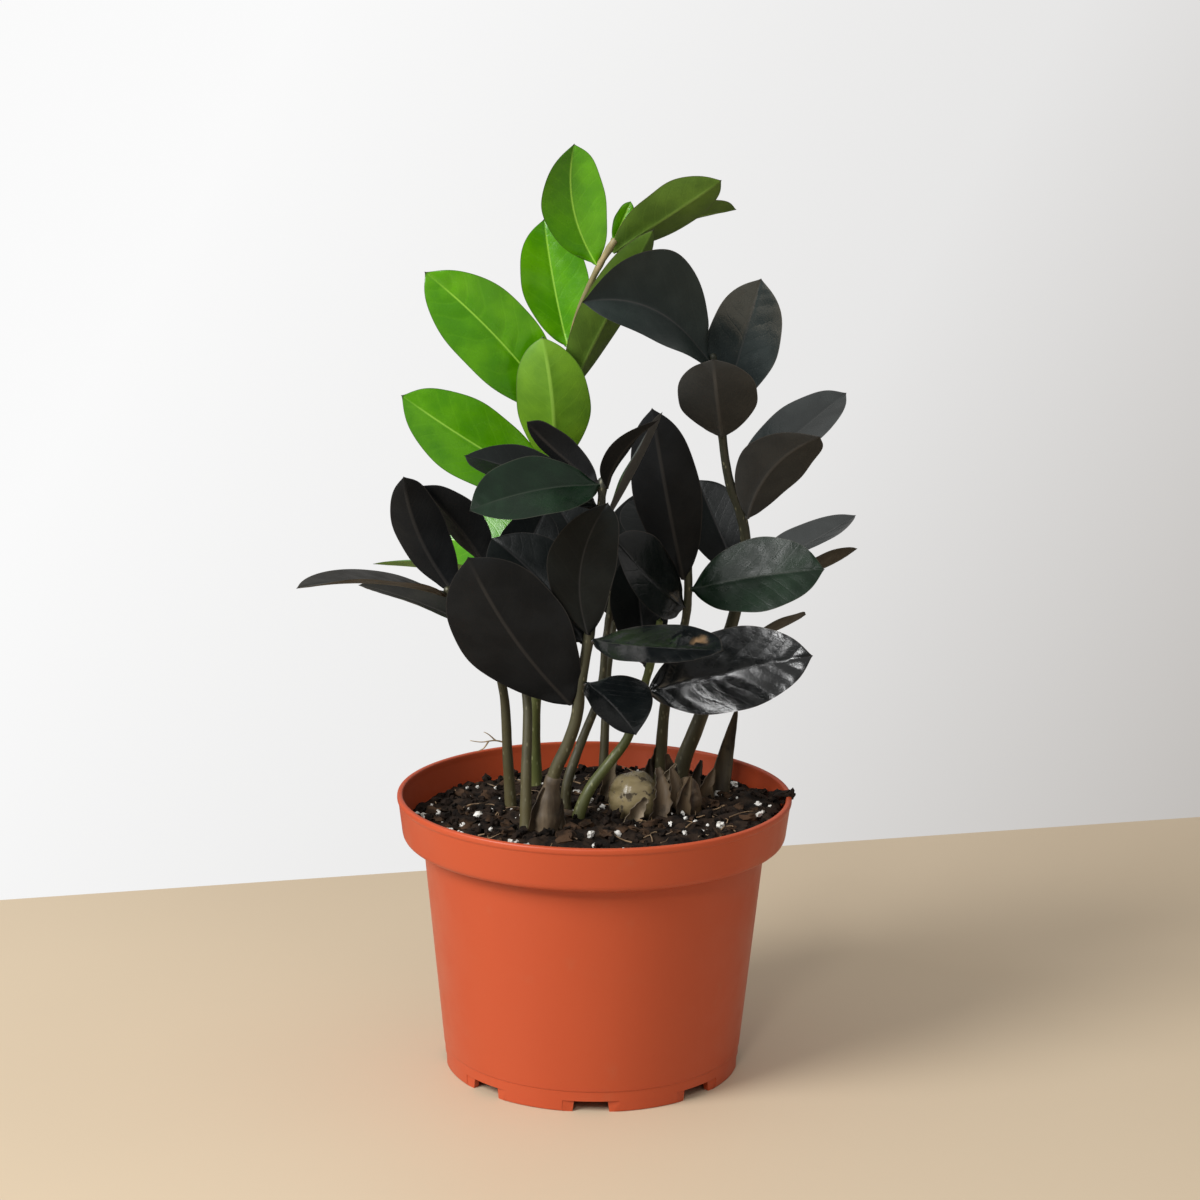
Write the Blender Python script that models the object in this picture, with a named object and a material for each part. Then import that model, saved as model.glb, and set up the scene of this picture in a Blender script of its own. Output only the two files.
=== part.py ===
"""A young ZZ plant with near-black leaflets and one bright green new shoot, in its plastic nursery pot.

Nine shoots rise from rhizomes half sunk in the potting soil. Each shoot is one tapered stem, and each of
its leaflets is a separate thin, folded and arched solid that starts just clear of the stem's skin.

Lengths in the tables are in millimetres and are scaled to metres as they are used. +Z is up, and the
origin is on the pot's axis, at the level of the floor that the pot stands on. The plant's front is -Y.
"""

import math
from collections import namedtuple

import bmesh
import bpy
from mathutils import Vector

MM = 0.001
CLEARANCE = 0.3
SKIN_CLEARANCE = 0.5

# Pot, in millimetres.
POT_HEIGHT = 120.8
RIM_RADIUS = 85.0
COLLAR_FOOT_RADIUS = 82.6
COLLAR_DEPTH = 19.4
BODY_TOP_RADIUS = 74.0
BODY_FOOT_RADIUS = 64.8
BASE_RADIUS = 64.2
BASE_BAND_HEIGHT = 9.0
WALL = 1.5
FLOOR_TOP = 6.6
FLOOR_UNDERSIDE = 5.2
FOOT_RING_WIDTH = 3.4
POT_SEGMENTS = 48

# Drainage notches round the foot ring, each a slot inside a wide shallow recess.
NOTCH_COUNT = 8
NOTCH_WIDTH = 14.0
RECESS_WIDTH = 24.0
RECESS_DEPTH = 1.3
NOTCH_HEIGHT = 4.9
DRAIN_RADIUS = 4.0
DRAIN_RING_RADIUS = 46.0
DRAIN_SIDES = 12

# Soil, in millimetres.
SOIL_LEVEL = 109.0
SOIL_MOUND = 2.5
SOIL_TILT = 2.0

# Stem and leaflet meshes.
STEM_SIDES = 8
STEM_STEP = 13.0
LEAF_THICKNESS = 1.0
STALK_HALF_WIDTH = 1.3
LEAF_STATIONS = (0.05, 0.15, 0.30, 0.47, 0.64, 0.80, 0.92)

Stem = namedtuple("Stem", "route foot_radius top_radius material")
Leaflet = namedtuple("Leaflet", "height reach face width arch cup sway")

# Each route runs from below the soil to the shoot's tip. Routes and radii are in millimetres.
STEMS = {
    "green_shoot": Stem(
        [(-26, 47, 98), (-27, 46, 148), (-20, 44, 196), (-20, 42, 232), (-17, 38, 268),
         (-11, 30, 317), (0, 20, 346), (6, 16, 356)],
        2.7, 1.2, "green stem"),
    "right_shoot": Stem(
        [(36, 40, 98), (39, 41, 122), (47, 42, 144), (56, 44, 174), (62, 45, 194), (65, 44, 226),
         (57, 38, 251), (53, 30, 274), (48, 16, 308)],
        3.6, 1.4, "dark stem"),
    "middle_shoot": Stem(
        [(28, 30, 98), (30, 26, 148), (34, 22, 174), (39, 18, 196), (39, 14, 219)],
        3.0, 1.5, "dark stem"),
    "front_shoot": Stem(
        [(-21, -23, 98), (-20, -24, 118), (-16, -26, 139), (-9, -28, 155), (-6, -32, 178), (-3, -36, 197),
         (0, -38, 222), (2, -36, 263)],
        3.1, 1.5, "dark stem"),
    "left_shoot": Stem(
        [(-36, 18, 98), (-38, 15, 130), (-40, 10, 163), (-47, 0, 187), (-56, -8, 202), (-63, -14, 212)],
        2.5, 1.4, "dark stem"),
    "inner_left_shoot": Stem(
        [(-29, -25, 98), (-29, -20, 135), (-29, -14, 164), (-34, -8, 189), (-41, -2, 209), (-47, 2, 222)],
        2.5, 1.4, "dark stem"),
    "low_shoot": Stem(
        [(-8, -8, 98), (-6, -6, 115), (2, -3, 129), (13, -1, 143), (19, 0, 162), (24, 0, 180),
         (27, 1, 196)],
        2.7, 1.4, "green stem"),
    "inner_shoot": Stem(
        [(-12, 3, 98), (-12, 4, 122), (-5, 8, 143), (2, 10, 163), (4, 12, 185), (7, 13, 206)],
        2.4, 1.3, "dark stem"),
    "back_shoot": Stem(
        [(3, 46, 98), (4, 48, 125), (5, 54, 157), (7, 58, 176), (10, 61, 200)],
        2.3, 1.3, "dark stem"),
}

# The leaflets of each shoot. Each row holds the height where the leaflet leaves the stem, the step from
# there to its tip, the way its glossy upper face looks, its width, how far its middle bows towards that
# face, how far its edges fold up towards that face, and how far its middle sways to its own side.
# Lengths are in millimetres.
LEAFLETS = {
    "green_shoot": [
        Leaflet(345, (-11, -11, 51), (0.1, -1, 0.1), 27, -2, 5, -5),
        Leaflet(309, (-12, 10, 54), (0.1, -1, 0.2), 29, 1, 4, -1),
        Leaflet(280, (-59, -9, 61), (-0.1, -0.9, 0.3), 35, 3, 4, 3),
        Leaflet(247, (-66, -12, 41), (-0.1, -0.8, 0.4), 34, 2, 4, -2),
        Leaflet(290, (37, -20, 71), (-0.5, 0.8, 0.3), 24, -4, 4, 4),
        Leaflet(256, (-6, -20, 59), (0.1, 1, 0.4), 32, -6, 4, -3),
        Leaflet(352, (46, -14, 30), (-0.2, 0.75, 0.65), 27, 2, 3, -2),
        Leaflet(352, (55, 38, 15), (0, 0.5, 0.85), 24, 3, 3, 0),
        Leaflet(355, (7, 4, 17), (0.2, -1, 0.1), 8, 1, 1, 0),
        Leaflet(214, (-49, 15, 6), (0, -0.8, 0.5), 30, 2, 3, 0),
        Leaflet(196, (-78, -10, 17), (0, 0.2, 1), 30, 4, 3, 0),
    ],
    "right_shoot": [
        Leaflet(304, (-56, -36, 29), (0.66, -0.63, 0.4), 44, 4, 12, 10),
        Leaflet(284, (16, -13, 57), (-0.1, -1, 0.2), 31, -3, 4, 0),
        Leaflet(273, (-6, -35, 36), (0, 0.6, 0.8), 34, -3, 3, 0),
        Leaflet(247, (51, 23, 40), (-0.3, -0.7, 0.6), 26, 2, 4, 1),
        Leaflet(234, (32, -20, 39), (-0.3, 1, 0.3), 31, 4, 2, 5),
        Leaflet(210, (52, 30, 20), (-0.2, -0.2, 0.9), 25, -2, 4, 0),
        Leaflet(203, (53, 18, 14), (0, 0.5, 0.8), 25, -3, 2, 0),
        Leaflet(176, (38, 26, 9), (0, 0.5, 0.8), 24, -1, 2, 0),
        Leaflet(208, (-20, 20, 39), (0, -1, 0.3), 27, 0, 3, 0),
    ],
    "middle_shoot": [
        Leaflet(212, (-17, -18, 76), (0.1, 1, 0.2), 29, -4, 4, 0),
        Leaflet(217, (-26, 25, 24), (0, -0.6, 0.8), 28, 3, 3, 0),
        Leaflet(199, (-32, -34, 36), (-0.3, -0.6, 0.6), 32, 2, 3, -3),
        Leaflet(207, (57, -19, 13), (0, -0.8, 0.5), 34, 4, 2, 0),
    ],
    "low_shoot": [
        Leaflet(166, (71, -18, 20), (0, -0.9, 0.4), 36, 5, 2, 0),
        Leaflet(176, (-7, 19, 47), (0, -1, 0.3), 25, 0, 3, 0),
    ],
    "front_shoot": [
        Leaflet(199, (7, -9, 56), (0, -1, 0.2), 28, 1, 2, -7),
        Leaflet(167, (-45, -21, 66), (0.1, 1, 0.3), 48, -2, 4, 3),
        Leaflet(194, (-41, 21, 40), (0.2, -0.9, 0.4), 34, 2, 3, 3),
        Leaflet(196, (54, -36, 4), (0, -0.4, 0.9), 31, -1, 2, 0),
        Leaflet(177, (23, -14, -19), (0.5, -0.6, 0.75), 34, 2, 7, 0),
        Leaflet(260, (-53, -28, -6), (0, -0.7, 0.7), 31, 5, 3, 0),
        Leaflet(251, (-57, 20, 18), (0, -0.4, 0.9), 28, 3, 3, 0),
        Leaflet(261, (-31, -5, 26), (0.5, 0.8, 0.2), 15, 2, 3, 3),
        Leaflet(260, (22, -18, 30), (-0.7, 0.6, 0.4), 15, 2, 2, 4),
        Leaflet(246, (25, 22, 42), (-0.8, 0.1, 0.5), 20, -1, 3, 0),
    ],
    "left_shoot": [
        Leaflet(208, (-20, -11, 53), (0.2, 1, 0.1), 23, 2, 4, 5),
        Leaflet(211, (-59, -42, 9), (0, 0, 1), 26, 4, 3, 0),
        Leaflet(193, (-52, 10, 16), (-0.2, -0.1, 1), 24, 2, 4, 0),
    ],
    "inner_left_shoot": [
        Leaflet(219, (-28, -16, 37), (0.4, 0.8, 0.4), 23, 2, 4, 0),
        Leaflet(207, (18, 14, 35), (0, -1, 0.3), 25, 1, 3, 0),
    ],
    "inner_shoot": [
        Leaflet(194, (26, 34, 30), (-0.4, -0.6, 0.6), 28, 3, 3, 0),
        Leaflet(205, (-27, 15, 40), (0.1, -1, 0.3), 26, 2, 3, 0),
    ],
    "back_shoot": [
        Leaflet(197, (18, 25, 42), (-0.3, -0.7, 0.6), 29, 4, 3, 0),
        Leaflet(186, (-28, 23, 28), (0.3, -0.4, 0.8), 29, 5, 3, 0),
    ],
}

# Rhizomes: centre, half sizes along X, Y and Z, lean towards +X in degrees, and material.
RHIZOMES = {
    "pale_rhizome": ((17, -2, 117), (11.5, 12, 14), 8, "pale rhizome"),
    "papery_rhizome": ((40, 2, 115), (6.5, 7, 12), -6, "brown rhizome"),
}
RHIZOME_SEGMENTS = 14
RHIZOME_RINGS = 9

# Dead pointed sheath of an old shoot: route and radii.
OLD_SHEATH_ROUTE = [(51, 20, 98), (52, 21, 120), (56, 21, 136), (62, 21, 153)]
OLD_SHEATH_FOOT_RADIUS = 4.2
OLD_SHEATH_TOP_RADIUS = 0.9

# Material colours are linear RGB, followed by roughness.
MATERIALS = {
    "terracotta plastic": ((0.62, 0.12, 0.05), 0.45),
    "potting soil": ((0.018, 0.011, 0.007), 0.95),
    "dark leaf": ((0.008, 0.012, 0.010), 0.25),
    "green leaf": ((0.10, 0.36, 0.01), 0.30),
    "dark stem": ((0.05, 0.045, 0.02), 0.55),
    "green stem": ((0.16, 0.17, 0.05), 0.50),
    "pale rhizome": ((0.33, 0.27, 0.13), 0.40),
    "brown rhizome": ((0.12, 0.06, 0.03), 0.80),
}


def clear_scene():
    for old in list(bpy.data.objects):
        bpy.data.objects.remove(old, do_unlink=True)


def material_named(name):
    found = bpy.data.materials.get(name)
    if found:
        return found
    colour, roughness = MATERIALS[name]
    made = bpy.data.materials.new(name)
    made.use_nodes = True
    shader = made.node_tree.nodes["Principled BSDF"]
    shader.inputs["Base Color"].default_value = (*colour, 1)
    shader.inputs["Roughness"].default_value = roughness
    shader.inputs["Metallic"].default_value = 0.0
    return made


def object_from(name, points, faces, material):
    """One mesh object from points in millimetres, with its faces turned outwards."""
    mesh = bpy.data.meshes.new(name)
    mesh.from_pydata([Vector(point) * MM for point in points], [], faces)
    shape = bmesh.new()
    shape.from_mesh(mesh)
    bmesh.ops.recalc_face_normals(shape, faces=shape.faces)
    shape.to_mesh(mesh)
    shape.free()
    mesh.shade_smooth()
    mesh.materials.append(material_named(material))
    made = bpy.data.objects.new(name, mesh)
    bpy.context.scene.collection.objects.link(made)
    return made


def make_cutter(cutter):
    cutter.hide_render = True
    cutter.display_type = "WIRE"


def bridge(first, second, count):
    """Quads between two rings of the same count, given the index of each ring's first point."""
    faces = []
    for i in range(count):
        following = (i + 1) % count
        faces.append((first + i, first + following, second + following, second + i))
    return faces


def lofted(rings, start, end):
    """Points and faces of the closed skin through equal rings, with a pole point at each end."""
    count = len(rings[0])
    points = [start]
    for ring in rings:
        points.extend(ring)
    points.append(end)
    faces = [(0, 1 + (i + 1) % count, 1 + i) for i in range(count)]
    for step in range(len(rings) - 1):
        faces += bridge(1 + step * count, 1 + (step + 1) * count, count)
    last = 1 + (len(rings) - 1) * count
    faces += [(last + i, last + (i + 1) % count, len(points) - 1) for i in range(count)]
    return points, faces


def ring_at(radius, height, count=POT_SEGMENTS):
    angles = [2 * math.pi * i / count for i in range(count)]
    return [Vector((radius * math.cos(a), radius * math.sin(a), height)) for a in angles]


# ---- Pot ----

def pot_profile():
    """The wall's outline, as (radius, height): down the outside from the rim, then up the inside."""
    collar_foot = POT_HEIGHT - COLLAR_DEPTH
    lip_inner = RIM_RADIUS - 2.4
    outside = [
        (lip_inner + 0.5, POT_HEIGHT),
        (RIM_RADIUS - 0.5, POT_HEIGHT),
        (RIM_RADIUS, POT_HEIGHT - 0.7),
        (RIM_RADIUS, POT_HEIGHT - 2.0),
        (RIM_RADIUS - 0.5, POT_HEIGHT - 2.6),
        (COLLAR_FOOT_RADIUS, collar_foot + 5.5),
        (COLLAR_FOOT_RADIUS - 0.9, collar_foot + 2.8),
        (COLLAR_FOOT_RADIUS - 3.0, collar_foot + 0.7),
        (BODY_TOP_RADIUS + 3.5, collar_foot),
        (BODY_TOP_RADIUS, collar_foot),
        (BODY_FOOT_RADIUS, BASE_BAND_HEIGHT + 0.4),
        (BODY_FOOT_RADIUS - 0.35, BASE_BAND_HEIGHT),
        (BASE_RADIUS, 0.5),
        (BASE_RADIUS - 0.5, 0.0),
        (BASE_RADIUS - FOOT_RING_WIDTH, 0.0),
        (BASE_RADIUS - FOOT_RING_WIDTH, FLOOR_UNDERSIDE),
    ]
    inside = [
        (BODY_FOOT_RADIUS - WALL - 1.6, FLOOR_TOP),
        (BODY_FOOT_RADIUS - WALL, FLOOR_TOP + 1.8),
        (BODY_TOP_RADIUS - WALL, collar_foot + WALL),
        (COLLAR_FOOT_RADIUS - WALL - 2.6, collar_foot + WALL + 0.5),
        (COLLAR_FOOT_RADIUS - WALL - 0.3, collar_foot + WALL + 3.6),
        (lip_inner, POT_HEIGHT - 0.6),
    ]
    return outside, inside


def notch_directions():
    """Unit vectors out through the notches, one of which faces the plant's front."""
    angles = [2 * math.pi * index / NOTCH_COUNT - math.pi / 2 for index in range(NOTCH_COUNT)]
    return [Vector((math.cos(angle), math.sin(angle), 0)) for angle in angles]


def slot_cutter(name, inner, width, top):
    """A cutter of one block for each notch, from an inner radius out through the foot ring."""
    shape = bmesh.new()
    for outwards in notch_directions():
        add_block(shape, outwards, inner, BASE_RADIUS + 3.0, width, -2.0, top)
    return object_from_bmesh(name, shape)


def drain_cutter():
    """A cutter of one round hole behind each notch and one at the middle."""
    shape = bmesh.new()
    add_drain(shape, Vector((0, 0, 0)))
    for outwards in notch_directions():
        add_drain(shape, outwards * DRAIN_RING_RADIUS)
    return object_from_bmesh("drain_cutter", shape)


def object_from_bmesh(name, shape):
    """A hidden cutter from a bmesh that holds closed shapes."""
    mesh = bpy.data.meshes.new(name)
    bmesh.ops.recalc_face_normals(shape, faces=shape.faces)
    shape.to_mesh(mesh)
    shape.free()
    made = bpy.data.objects.new(name, mesh)
    bpy.context.scene.collection.objects.link(made)
    make_cutter(made)
    return made


def add_block(shape, outwards, inner, outer, width, low, high):
    across = Vector((-outwards.y, outwards.x, 0))
    corners = []
    for height in (low, high):
        for along, side in ((inner, -1), (outer, -1), (outer, 1), (inner, 1)):
            place = outwards * along + across * (side * width / 2) + Vector((0, 0, height))
            corners.append(shape.verts.new(place * MM))
    for face in ((0, 1, 2, 3), (4, 5, 6, 7), (0, 1, 5, 4), (1, 2, 6, 5), (2, 3, 7, 6), (3, 0, 4, 7)):
        shape.faces.new([corners[i] for i in face])


def add_drain(shape, centre):
    made = bmesh.ops.create_cone(
        shape, cap_ends=True, segments=DRAIN_SIDES, radius1=DRAIN_RADIUS * MM, radius2=DRAIN_RADIUS * MM,
        depth=12 * MM)
    middle = Vector((centre.x, centre.y, (FLOOR_TOP + FLOOR_UNDERSIDE) / 2)) * MM
    bmesh.ops.translate(shape, verts=made["verts"], vec=middle)


def cut(target, name, cutter):
    boolean = target.modifiers.new(name, "BOOLEAN")
    boolean.operation = "DIFFERENCE"
    boolean.solver = "EXACT"
    boolean.object = cutter


def add_pot():
    outside, inside = pot_profile()
    rings = [ring_at(radius, height) for radius, height in reversed(outside)]
    rings += [ring_at(radius, height) for radius, height in reversed(inside)]
    underside = Vector((0, 0, FLOOR_UNDERSIDE))
    floor = Vector((0, 0, FLOOR_TOP))
    points, faces = lofted(rings, underside, floor)
    pot = object_from("nursery_pot", points, faces, "terracotta plastic")
    pot.data.set_sharp_from_angle(angle=math.radians(35))
    slot_inner = BASE_RADIUS - FOOT_RING_WIDTH - 2.5
    recess_inner = BASE_RADIUS - RECESS_DEPTH
    cut(pot, "foot slots", slot_cutter("slot_cutter", slot_inner, NOTCH_WIDTH, NOTCH_HEIGHT))
    cut(pot, "recesses", slot_cutter("recess_cutter", recess_inner, RECESS_WIDTH, NOTCH_HEIGHT - 0.4))
    cut(pot, "drain holes", drain_cutter())


# ---- Curved tubes ----

def spline_point(points, place):
    """A point on the smooth curve through the points. Place runs from 0 to the last point's index."""
    last = len(points) - 1
    index = min(int(place), last - 1)
    t = place - index
    p1, p2 = points[index], points[index + 1]
    p0 = points[index - 1] if index else 2 * p1 - p2
    p3 = points[index + 2] if index + 2 <= last else 2 * p2 - p1
    return 0.5 * (2 * p1 + (p2 - p0) * t + (2 * p0 - 5 * p1 + 4 * p2 - p3) * t * t
                  + (3 * p1 - p0 - 3 * p2 + p3) * t * t * t)


def smooth_route(route, step):
    """Evenly spaced points on the curve through the route, about a step apart."""
    points = [Vector(point) for point in route]
    fine = [spline_point(points, i * (len(points) - 1) / 400) for i in range(401)]
    travelled = [0.0]
    for before, after in zip(fine, fine[1:]):
        travelled.append(travelled[-1] + (after - before).length)
    count = max(3, round(travelled[-1] / step))
    even = []
    at = 0
    for i in range(count + 1):
        wanted = travelled[-1] * i / count
        while at < 399 and travelled[at + 1] < wanted:
            at += 1
        part = (wanted - travelled[at]) / (travelled[at + 1] - travelled[at])
        even.append(fine[at].lerp(fine[at + 1], min(1.0, part)))
    return even


def tangent_at(points, index):
    before = points[max(0, index - 1)]
    after = points[min(len(points) - 1, index + 1)]
    return (after - before).normalized()


def tube(points, radii, sides):
    """A closed tube of rings square to the route, without twist, with a shallow dome at each end."""
    rings = []
    across = Vector((1, 0, 0))
    for index, (centre, radius) in enumerate(zip(points, radii)):
        along = tangent_at(points, index)
        across = (across - along * across.dot(along)).normalized()
        other = along.cross(across)
        angles = [2 * math.pi * i / sides for i in range(sides)]
        rings.append([centre + (across * math.cos(a) + other * math.sin(a)) * radius for a in angles])
    start = points[0] - tangent_at(points, 0) * radii[0] * 0.5
    end = points[-1] + tangent_at(points, len(points) - 1) * radii[-1] * 0.8
    return lofted(rings, start, end)


def stem_radius(stem, share):
    """The stem's radius at a share of its length. It thins quickly above its swollen foot."""
    body = stem.foot_radius + (stem.top_radius - stem.foot_radius) * share
    return body + 0.25 * stem.foot_radius * math.exp(-share * 9)


def stem_skeleton(stem):
    points = smooth_route(stem.route, STEM_STEP)
    radii = [stem_radius(stem, i / (len(points) - 1)) for i in range(len(points))]
    return points, radii


def add_stem(name, stem):
    points, radii = stem_skeleton(stem)
    object_from(name, *tube(points, radii, STEM_SIDES), stem.material)


def place_on_stem(stem, height):
    """The stem's centre, direction and radius where it passes a height."""
    points, radii = stem_skeleton(stem)
    for index in range(len(points) - 1):
        low, high = points[index], points[index + 1]
        if low.z <= height <= high.z:
            part = (height - low.z) / (high.z - low.z)
            along = (high - low).normalized()
            return low.lerp(high, part), along, radii[index] + (radii[index + 1] - radii[index]) * part
    return points[-1], tangent_at(points, len(points) - 1), radii[-1]


# ---- Leaflets ----

def blade_share(station):
    """The blade's half width as a share of its greatest, full in the middle and pointed at the tip."""
    peak = 0.53
    rise, fall = 0.75, 0.66
    shape = (station / peak) ** rise * ((1 - station) / (1 - peak)) ** fall
    return min(1.0, shape)


def leaflet_rings(base, tip, leaflet):
    """Rings of eight points across the blade: two edges, three points above and three below."""
    face = Vector(leaflet.face)
    along = tip - base
    length = along.length
    along.normalize()
    upper = (face - along * face.dot(along)).normalized()
    side = along.cross(upper)
    rings = []
    for index, station in enumerate(LEAF_STATIONS):
        half = max(STALK_HALF_WIDTH, leaflet.width / 2 * blade_share(station))
        thick = LEAF_THICKNESS / 2
        if index == 0:
            half = STALK_HALF_WIDTH
            thick = 0.8
        curve = 4 * station * (1 - station)
        fold = leaflet.cup * half / (leaflet.width / 2)
        middle = base + along * (length * station) + side * (leaflet.sway * curve)
        ring = []
        for share, lift in (
            (-1.0, 0.0), (-0.5, 0.8), (0.0, 0.6), (0.5, 0.8),
            (1.0, 0.0), (0.5, -0.8), (0.0, -1.5), (-0.5, -0.8),
        ):
            rise = leaflet.arch * curve + fold * abs(share) ** 1.3 + lift * thick
            ring.append(middle + side * (half * share) + upper * rise)
        rings.append(ring)
    return rings


def add_leaflet(name, leaflet, stem, material):
    centre, stem_along, radius = place_on_stem(stem, leaflet.height)
    reach = Vector(leaflet.reach)
    outwards = (reach - stem_along * reach.dot(stem_along)).normalized()
    base = centre + outwards * (radius + SKIN_CLEARANCE)
    tip = centre + reach
    object_from(name, *lofted(leaflet_rings(base, tip, leaflet), base, tip), material)


# ---- Rhizomes, soil and the old sheath ----

def rhizome_mesh(centre, half_sizes, lean, grow):
    """A lumpy upright tuber, as closed rings round its leaning axis."""
    tilt = math.radians(lean)
    rings = []
    for ring in range(1, RHIZOME_RINGS):
        polar = math.pi * ring / RHIZOME_RINGS
        row = []
        for index in range(RHIZOME_SEGMENTS):
            turn = 2 * math.pi * index / RHIZOME_SEGMENTS
            lump = 1 + 0.05 * math.sin(3 * turn + 2 * polar) + 0.04 * math.cos(2 * turn - 4 * polar)
            row.append(rhizome_point(centre, half_sizes, tilt, grow, polar, turn, lump))
        rings.append(row)
    start = rhizome_point(centre, half_sizes, tilt, grow, 0, 0, 1)
    end = rhizome_point(centre, half_sizes, tilt, grow, math.pi, 0, 1)
    return lofted(rings, start, end)


def rhizome_point(centre, half_sizes, tilt, grow, polar, turn, lump):
    x = (half_sizes[0] * lump + grow) * math.sin(polar) * math.cos(turn)
    y = (half_sizes[1] * lump + grow) * math.sin(polar) * math.sin(turn)
    z = -(half_sizes[2] + grow) * math.cos(polar)
    return Vector(centre) + Vector((x + z * math.tan(tilt), y, z))


def soil_height(x, y):
    """The soil's surface: a low mound at the middle, a little higher on the right, with small lumps."""
    distance = math.hypot(x, y) / RIM_RADIUS
    mound = SOIL_MOUND * (1 - distance * distance)
    tilt = SOIL_TILT * x / RIM_RADIUS
    lumps = 0.5 * math.sin(0.16 * x + 0.5) * math.cos(0.19 * y) + 0.35 * math.sin(0.31 * x - 0.27 * y)
    return SOIL_LEVEL + mound + tilt + lumps


def soil_surface_ring(radius):
    return [Vector((point.x, point.y, soil_height(point.x, point.y))) for point in ring_at(radius, 0)]


def add_soil():
    _, inside = pot_profile()
    floor_edge, fillet, ledge, ledge_outer, collar_inner, _ = inside
    rings = [
        ring_at(floor_edge[0] - CLEARANCE, floor_edge[1] + CLEARANCE),
        ring_at(fillet[0] - CLEARANCE, fillet[1] + CLEARANCE),
        ring_at(ledge[0] - CLEARANCE - 0.1, ledge[1] + CLEARANCE + 0.3),
        ring_at(ledge_outer[0] - CLEARANCE - 0.1, ledge_outer[1] + CLEARANCE + 0.2),
        ring_at(collar_inner[0] - CLEARANCE - 0.3, collar_inner[1] + CLEARANCE),
    ]
    rings += [soil_surface_ring(radius) for radius in (80.4, 64, 48, 32, 16)]
    start = Vector((0, 0, floor_edge[1] + CLEARANCE))
    end = Vector((0, 0, soil_height(0, 0)))
    soil = object_from("potting_soil", *lofted(rings, start, end), "potting soil")
    pockets = bpy.data.collections.new("soil pockets")
    bpy.context.scene.collection.children.link(pockets)
    for name, stem in STEMS.items():
        points, radii = stem_skeleton(stem)
        buried = []
        for point, radius in zip(points, radii):
            if point.z < SOIL_LEVEL + 25:
                buried.append((point, radius + CLEARANCE))
        mesh = tube([point for point, _ in buried], [radius for _, radius in buried], STEM_SIDES)
        add_pocket(pockets, name + "_pocket", mesh)
    for name, (centre, half_sizes, lean, _) in RHIZOMES.items():
        add_pocket(pockets, name + "_pocket", rhizome_mesh(centre, half_sizes, lean, CLEARANCE))
    points, radii = old_sheath_skeleton()
    grown = [radius + CLEARANCE for radius in radii]
    add_pocket(pockets, "old_sheath_pocket", tube(points, grown, STEM_SIDES))
    boolean = soil.modifiers.new("pockets", "BOOLEAN")
    boolean.operation = "DIFFERENCE"
    boolean.solver = "EXACT"
    boolean.operand_type = "COLLECTION"
    boolean.collection = pockets


def add_pocket(pockets, name, mesh):
    pocket = object_from(name, *mesh, "potting soil")
    bpy.context.scene.collection.objects.unlink(pocket)
    pockets.objects.link(pocket)
    make_cutter(pocket)


def add_rhizomes():
    for name, (centre, half_sizes, lean, material) in RHIZOMES.items():
        object_from(name, *rhizome_mesh(centre, half_sizes, lean, 0), material)


def old_sheath_skeleton():
    points = smooth_route(OLD_SHEATH_ROUTE, 8)
    last = len(points) - 1
    spread = OLD_SHEATH_TOP_RADIUS - OLD_SHEATH_FOOT_RADIUS
    radii = [OLD_SHEATH_FOOT_RADIUS + spread * (i / last) ** 1.5 for i in range(len(points))]
    return points, radii


def add_old_sheath():
    object_from("old_shoot_sheath", *tube(*old_sheath_skeleton(), STEM_SIDES), "brown rhizome")


def build():
    clear_scene()
    add_pot()
    add_soil()
    add_rhizomes()
    add_old_sheath()
    for shoot, stem in STEMS.items():
        add_stem(f"{shoot}_stem", stem)
        material = "green leaf" if shoot == "green_shoot" else "dark leaf"
        for number, leaflet in enumerate(LEAFLETS[shoot], start=1):
            add_leaflet(f"{shoot}_leaflet_{number:02d}", leaflet, stem, material)


build()
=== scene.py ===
"""A potted ZZ plant: near-black leaflets, one bright green young shoot and a plastic nursery pot.

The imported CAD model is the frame. Each leaflet and stem is rebuilt here as a finer mesh, from the chord,
width and bends that are read off its CAD solid, so that every piece stays where the CAD has it. Lengths are
in millimetres until a mesh is made. The scene is in metres, with +Z up and the plant's front towards -Y.
"""

import math
from collections import namedtuple

import bmesh
import bpy
import numpy as np
from mathutils import Matrix, Vector, noise


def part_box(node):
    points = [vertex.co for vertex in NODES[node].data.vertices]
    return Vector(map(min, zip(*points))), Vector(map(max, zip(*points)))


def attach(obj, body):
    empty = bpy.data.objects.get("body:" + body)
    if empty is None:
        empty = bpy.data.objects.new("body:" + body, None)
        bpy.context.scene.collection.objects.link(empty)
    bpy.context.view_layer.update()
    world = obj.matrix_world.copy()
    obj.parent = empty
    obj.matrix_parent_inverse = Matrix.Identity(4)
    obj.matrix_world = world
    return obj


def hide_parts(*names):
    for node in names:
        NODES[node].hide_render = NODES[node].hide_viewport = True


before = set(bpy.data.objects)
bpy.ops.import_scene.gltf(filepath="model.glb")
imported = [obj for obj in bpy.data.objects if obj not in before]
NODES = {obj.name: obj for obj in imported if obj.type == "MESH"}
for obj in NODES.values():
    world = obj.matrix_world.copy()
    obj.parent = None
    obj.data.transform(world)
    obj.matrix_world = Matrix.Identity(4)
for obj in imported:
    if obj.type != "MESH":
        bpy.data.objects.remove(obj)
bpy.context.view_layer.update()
MM = 0.001

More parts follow.
